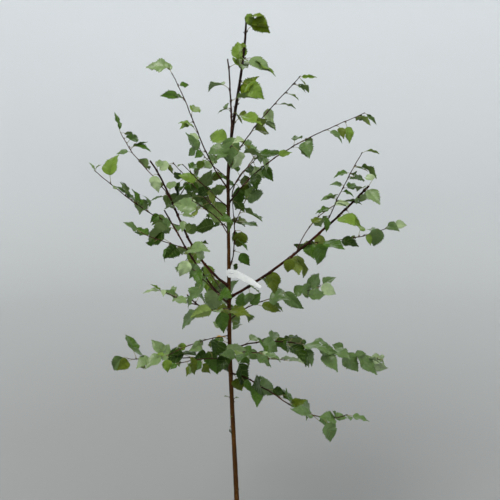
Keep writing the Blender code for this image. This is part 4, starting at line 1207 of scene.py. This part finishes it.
# drainage holes, cut right through the floor
cv, cf = [], []
for k in range(8):
    t = 2.0 * math.pi * (k + 0.5) / 8
    c = np.array([0.088 * math.cos(t), 0.088 * math.sin(t), 0.0])
    vv, ff = tube([c - UP * 0.01, c + UP * 0.02], [0.007, 0.007], 28)
    cf += [tuple(i + len(cv) for i in q) for q in ff]
    cv += list(vv)
cm = bpy.data.meshes.new("drill")
cm.from_pydata([tuple(p) for p in cv], [], cf)
drill = bpy.data.objects.new("drill", cm)
bpy.context.scene.collection.objects.link(drill)
mod = pot.modifiers.new("drill", "BOOLEAN")
mod.object, mod.operation, mod.solver = drill, "DIFFERENCE", "EXACT"
deps = bpy.context.evaluated_depsgraph_get()
done = bpy.data.meshes.new_from_object(pot.evaluated_get(deps))
pot.modifiers.clear()
pot.data = done
bpy.data.objects.remove(drill)
pot.data.shade_smooth()
pot.data.set_sharp_from_angle(angle=math.radians(40))
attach(pot, "root")
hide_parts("pot")

# ------------------------------------------------------------------ compost
def compost_material(name, dark, mid_c, light, scale):
    m, nt, b = nodes_of(name)
    n = noise_node(nt, scale, 6.0, 0.7)
    r = ramp(nt, n.outputs["Fac"], ((0.30, dark), (0.52, mid_c), (0.74, light)))
    nt.links.new(r.outputs["Color"], b.inputs["Base Color"])
    b.inputs["Roughness"].default_value = 0.92
    b.inputs["Specular IOR Level"].default_value = 0.25
    n2 = noise_node(nt, scale * 3.0, 5.0, 0.7)
    bp = nt.nodes.new("ShaderNodeBump")
    bp.inputs["Strength"].default_value, bp.inputs["Distance"].default_value = 0.7, 0.0012
    nt.links.new(n2.outputs["Fac"], bp.inputs["Height"])
    nt.links.new(bp.outputs["Normal"], b.inputs["Normal"])
    return m


SOIL = compost_material("compost", srgb(34, 24, 18), srgb(58, 42, 30), srgb(88, 66, 48), 150.0)
CHIP = compost_material("bark_chip", srgb(62, 42, 28), srgb(96, 68, 46), srgb(134, 100, 70), 210.0)
FIBRE = compost_material("fibre", srgb(96, 74, 52), srgb(124, 98, 70), srgb(150, 122, 90), 180.0)


def soil_z(x, y):
    r = math.hypot(x, y)
    z = 0.0022 * noise.fractal(Vector((x * 38, y * 38, 0.0)), 1.0, 2.0, 4)
    z += 0.0011 * noise.noise(Vector((x * 260, y * 260, 3.0)))
    z += 0.0030 * math.exp(-(r / 0.020) ** 2) - 0.0045 * max(0.0, (r - 0.105) / 0.024) ** 2
    return SOIL_LEVEL - 0.0010 + z


rim_r = wall_r(SOIL_LEVEL) - WALL - 0.0010
rows, spokes = 64, 168
verts = [(0.0, 0.0, soil_z(0.0, 0.0))]
for k in range(1, rows + 1):
    r = rim_r * k / rows
    for i in range(spokes):
        t = 2.0 * math.pi * (i + 0.5 * (k % 2)) / spokes
        x, y = r * math.cos(t), r * math.sin(t)
        verts.append((x, y, soil_z(x, y)))
faces = [(0, 1 + i, 1 + (i + 1) % spokes) for i in range(spokes)]
for k in range(rows - 1):
    a, b_ = 1 + k * spokes, 1 + (k + 1) * spokes
    for i in range(spokes):
        j = (i + 1) % spokes
        faces.append((a + i, b_ + i, b_ + j, a + j))
for z in (0.150, 0.0085):
    r = wall_r(z) - WALL - 0.0010 - (0.004 if z < 0.02 else 0.0)
    a, b_ = len(verts) - spokes, len(verts)
    for i in range(spokes):
        t = 2.0 * math.pi * (i + 0.5 * (rows % 2)) / spokes
        verts.append((r * math.cos(t), r * math.sin(t), z))
    for i in range(spokes):
        j = (i + 1) % spokes
        faces.append((a + i, b_ + i, b_ + j, a + j))
faces.append(tuple(len(verts) - 1 - i for i in range(spokes)))
soil = Soup()
soil.add(verts, faces, 0)
rng = random.Random(5)
CUBE = np.array([(-1, -1, -1), (1, -1, -1), (1, 1, -1), (-1, 1, -1), (-1, -1, 1), (1, -1, 1), (1, 1, 1), (-1, 1, 1)], float)
CUBE_F = [(0, 3, 2, 1), (4, 5, 6, 7), (0, 1, 5, 4), (1, 2, 6, 5), (2, 3, 7, 6), (3, 0, 4, 7)]
bits = Soup()
for k in range(2300):
    r = (rim_r - 0.004) * math.sqrt(rng.random())
    t = rng.random() * 6.283
    x, y = r * math.cos(t), r * math.sin(t)
    big_chip = rng.random() < 0.16
    if math.hypot(x, y) < 0.017:
        continue
    size = (0.0026 + 0.0030 * rng.random()) if big_chip else (0.0008 + 0.0013 * rng.random())
    dims = np.array([size, size * (0.45 + 0.4 * rng.random()), size * (0.22 + 0.3 * rng.random())])
    shape = CUBE * (1.0 + 0.35 * np.array([[rng.gauss(0, 1) for _ in range(3)] for _ in range(8)]) * 0.6) * dims
    ax = unit(np.array([rng.gauss(0, 0.30), rng.gauss(0, 0.30), 1.0]))
    u = unit(np.cross(ax, (math.cos(t * 7.1), math.sin(t * 7.1), 0.1)))
    w = np.cross(ax, u)
    R = np.stack([u, w, ax])
    pos = np.array([x, y, soil_z(x, y) + dims[2] * 0.35])
    bits.add(shape @ R + pos, CUBE_F, 0 if big_chip or rng.random() < 0.45 else 1)
for k in range(170):
    r = (rim_r - 0.018) * math.sqrt(rng.random())
    t = rng.random() * 6.283
    c = np.array([r * math.cos(t), r * math.sin(t), 0.0])
    if r < 0.022:
        continue
    d = bearing(math.degrees(rng.random() * 6.283), 0)
    side = np.cross(UP, d)
    long = 0.006 + 0.010 * rng.random()
    bend = rng.gauss(0, 0.18)
    pts = []
    for q in np.linspace(-0.5, 0.5, 7):
        p = c + d * long * q + side * long * bend * (0.25 - q * q) * 4
        if math.hypot(p[0], p[1]) > rim_r - 0.002:
            p = p * (rim_r - 0.002) / math.hypot(p[0], p[1])
        pts.append((p[0], p[1], soil_z(p[0], p[1]) + 0.0006 + 0.0010 * (0.25 - q * q)))
    w = 0.00022 + 0.00025 * rng.random()
    v, f = tube(pts, [w * 0.5, w, w, w * 1.1, w, w, w * 0.4], 5)
    bits.add(v, f, 2)
soil.make("compost_surface", [SOIL], "compost", smooth=180, replaces=["compost"])
bits.make("compost_bits", [CHIP, SOIL, FIBRE], "compost", smooth=25)

# ------------------------------------------------------------------ blank loop-lock label
LABEL_HEIGHT, LABEL_BEARING, LABEL_DROOP = 0.882, -28.0, 20.0
LABEL_T = 0.0007
LABEL_W, LABEL_LOOP_W, LABEL_HEAD, LABEL_HEAD_H, LABEL_TAIL = 0.018, 0.015, 0.030, 0.023, 0.078


def label_route():
    """centre, across and out vectors and width at closely spaced stations along the strip"""
    c = stem_point(LABEL_HEIGHT)
    r0 = stem_radius(LABEL_HEIGHT) + 0.0011
    exit_angle = LABEL_BEARING - 90.0
    st = []
    for k in range(61):
        t = k / 60.0
        a = math.radians(exit_angle - 408.0 * (1.0 - t))
        r = r0 + 0.0019 * smoothstep(0.80, 0.93, t)
        n = np.array([math.cos(a), math.sin(a), 0.0])
        st.append((c + n * r, n, UP, LABEL_LOOP_W if t > 0.04 else LABEL_LOOP_W * (0.7 + 0.3 * t / 0.04)))
    n = bearing(exit_angle, 0.0)
    d = bearing(LABEL_BEARING, 0.0)
    p = c + n * (r0 + 0.0019)
    head = [(0.0008, 0.0165), (0.0014, 0.0190), (0.0022, 0.0212), (0.0034, 0.0225), (0.0050, LABEL_HEAD_H)]
    head += [(x, LABEL_HEAD_H) for x in np.linspace(0.0065, LABEL_HEAD - 0.0045, 14)]
    head += [(LABEL_HEAD - 0.0032, 0.0226), (LABEL_HEAD - 0.0020, 0.0214), (LABEL_HEAD - 0.0010, 0.0196), (LABEL_HEAD, LABEL_W)]
    for x, w in head:
        st.append((p + d * x, n, UP, w))
    p = p + d * LABEL_HEAD
    for k in range(1, 49):
        t = k / 48.0
        droop = math.radians(LABEL_DROOP * smoothstep(-0.02, 0.05, t))
        dd = d * math.cos(droop) - UP * math.sin(droop)
        ww = UP * math.cos(droop) + d * math.sin(droop)
        p = p + dd * LABEL_TAIL / 48.0
        bow = 0.003 * t ** 2 + 0.0004 * math.sin(t * 9.0)
        edge = (1.0 - t) * LABEL_TAIL
        w = LABEL_W * (1.0 - 0.52 * smoothstep(0.52, 1.0, t))
        w -= 0.0 if edge > 0.004 else 0.004 * (1.0 - math.sqrt(max(0.0, 1.0 - (1.0 - edge / 0.004) ** 2)))
        st.append((p + n * bow, n, ww, w))
    return st


route = label_route()
across_n = 14
grid = []
for k, (p, n, wv, w) in enumerate(route):
    for q in range(across_n + 1):
        x = q / across_n - 0.5
        cup = 0.0005 * (1.0 - 4.0 * x * x) * (1.0 if k > 64 else 0.0)
        grid.append(p + wv * w * x + n * cup)
W1 = across_n + 1
slot_rows = range(66, 75)
lf = []
for k in range(len(route) - 1):
    for q in range(across_n):
        if k in slot_rows and q in (6, 7):
            continue                     # the slit that the tail is pulled through
        lf.append((k * W1 + q, k * W1 + q + 1, (k + 1) * W1 + q + 1, (k + 1) * W1 + q))
lm = bpy.data.meshes.new("label_strip")
lm.from_pydata([tuple(p) for p in grid], [], lf)
m, nt, b = nodes_of("label_white_plastic")
n_ = noise_node(nt, 60.0, 4.0, 0.6)
r_ = ramp(nt, n_.outputs["Fac"], ((0.35, srgb(226, 228, 228)), (0.70, srgb(242, 243, 242))))
nt.links.new(r_.outputs["Color"], b.inputs["Base Color"])
b.inputs["Roughness"].default_value = 0.42
n2_ = noise_node(nt, 900.0, 3.0, 0.6)
bp = nt.nodes.new("ShaderNodeBump")
bp.inputs["Strength"].default_value, bp.inputs["Distance"].default_value = 0.10, 0.0003
nt.links.new(n2_.outputs["Fac"], bp.inputs["Height"])
nt.links.new(bp.outputs["Normal"], b.inputs["Normal"])
lm.materials.append(m)
label = bpy.data.objects.new("label_strip", lm)
bpy.context.scene.collection.objects.link(label)
mod = label.modifiers.new("thick", "SOLIDIFY")
mod.thickness, mod.offset = LABEL_T, 0.0
deps = bpy.context.evaluated_depsgraph_get()
done = bpy.data.meshes.new_from_object(label.evaluated_get(deps))
label.modifiers.clear()
label.data = done
label.data.shade_smooth()
label.data.set_sharp_from_angle(angle=math.radians(40))
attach(label, "root")
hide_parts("label")

# ------------------------------------------------------------------ stage, light, camera
prof = [(0.0, 0.0)]
for r in np.linspace(0.5, 4.0, 8):
    prof.append((float(r), 0.0))
for k in range(1, 25):
    t = math.radians(82.0 * k / 24)
    prof.append((4.0 + 3.2 * math.sin(t), 3.2 * (1.0 - math.cos(t))))
prof.append((prof[-1][0] + 0.3, prof[-1][1] + 3.0))
sides = 96
verts, rows_ = [], []
for r, z in prof:
    if r == 0.0:
        rows_.append([0])
        verts.append((0.0, 0.0, 0.0))
        continue
    rows_.append(list(range(len(verts), len(verts) + sides)))
    verts += [(r * math.cos(2 * math.pi * i / sides), r * math.sin(2 * math.pi * i / sides), z) for i in range(sides)]
faces = []
for lo, hi in zip(rows_, rows_[1:]):
    for i in range(sides):
        j = (i + 1) % sides
        faces.append((lo[0], hi[i], hi[j]) if len(lo) == 1 else (lo[i], hi[i], hi[j], lo[j]))
fm = bpy.data.meshes.new("pale_floor")
fm.from_pydata(verts, [], faces)
fm.shade_smooth()
m, nt, b = nodes_of("pale_floor")
tc = nt.nodes.new("ShaderNodeTexCoord")
ln = nt.nodes.new("ShaderNodeVectorMath")
ln.operation = "LENGTH"
nt.links.new(tc.outputs["Object"], ln.inputs[0])
mr = nt.nodes.new("ShaderNodeMapRange")
mr.inputs["From Max"].default_value = 9.0
nt.links.new(ln.outputs["Value"], mr.inputs["Value"])
# painted shade: the floor is painted darker around the plant and lighter out along the curved wall, in place of light
# fading from the top of the backdrop to its foot
r_ = ramp(nt, mr.outputs["Result"], ((0.05, srgb(147, 148, 146)), (0.17, srgb(158, 159, 158)), (0.46, srgb(192, 194, 193)), (0.90, srgb(236, 239, 241))))
nt.links.new(r_.outputs["Color"], b.inputs["Base Color"])
b.inputs["Roughness"].default_value = 0.9
b.inputs["Specular IOR Level"].default_value = 0.1
fm.materials.append(m)
floor = bpy.data.objects.new("pale_floor", fm)
bpy.context.scene.collection.objects.link(floor)
floor.location.z = -0.0004

scene = bpy.context.scene
world = bpy.data.worlds.new("soft_sky")
scene.world = world
world.use_nodes = True
bg = world.node_tree.nodes["Background"]
# brightest low down, where it carries on the wall's own tone, and dimmer overhead
wt = world.node_tree
wc = wt.nodes.new("ShaderNodeTexCoord")
wx = wt.nodes.new("ShaderNodeSeparateXYZ")
wt.links.new(wc.outputs["Generated"], wx.inputs["Vector"])
sky = ramp(wt, wx.outputs["Z"], ((0.0, (0.55, 0.58, 0.60)), (0.62, (0.55, 0.58, 0.60)), (1.0, (0.19, 0.196, 0.20))))
wt.links.new(sky.outputs["Color"], bg.inputs["Color"])
bg.inputs["Strength"].default_value = 1.0


WASH = 24.5


def area(name, where, target, size, power, colour):
    li = bpy.data.lights.new(name, "AREA")
    li.shape = "DISK"
    li.size = size
    li.energy = power
    li.color = colour
    ob = bpy.data.objects.new(name, li)
    scene.collection.objects.link(ob)
    ob.location = where
    ob.rotation_euler = (Vector(target) - Vector(where)).to_track_quat("-Z", "Y").to_euler()
    ob.visible_camera = False
    return ob


for k in range(8):
    t = 2.0 * math.pi * (k + 0.5) / 8
    area("wall_wash_%d" % k, (2.6 * math.cos(t), 2.6 * math.sin(t), 5.6), (7.4 * math.cos(t), 7.4 * math.sin(t), 2.2), 1.6,
         WASH, (1.0, 0.985, 0.975))
area("key", (-1.5, -2.3, 4.9), (0.0, 0.0, 1.2), 2.2, 165.0, (1.0, 0.99, 0.965))
area("fill", (3.2, -2.4, 2.6), (0.0, 0.0, 1.1), 2.6, 30.0, (0.96, 0.98, 1.0))
area("back", (0.6, 3.6, 3.8), (0.0, 0.0, 1.1), 2.4, 36.0, (0.98, 0.99, 1.0))

cam_data = bpy.data.cameras.new("view")
cam = bpy.data.objects.new("view", cam_data)
scene.collection.objects.link(cam)
cam_data.sensor_fit = "HORIZONTAL"
cam_data.sensor_width = 36.0
cam_data.lens = 36.0 * 512.0 / 500.0
cam.location = (0.036, -1.35, 1.42)
cam.rotation_euler = (math.radians(90.0 - 10.5), 0.0, 0.0)
cam_data.clip_start = 0.05
cam_data.clip_end = 60.0
scene.camera = cam
scene.view_settings.view_transform = "Standard"
scene.view_settings.look = "None"
scene.view_settings.exposure = 0.0

bpy.context.view_layer.update()
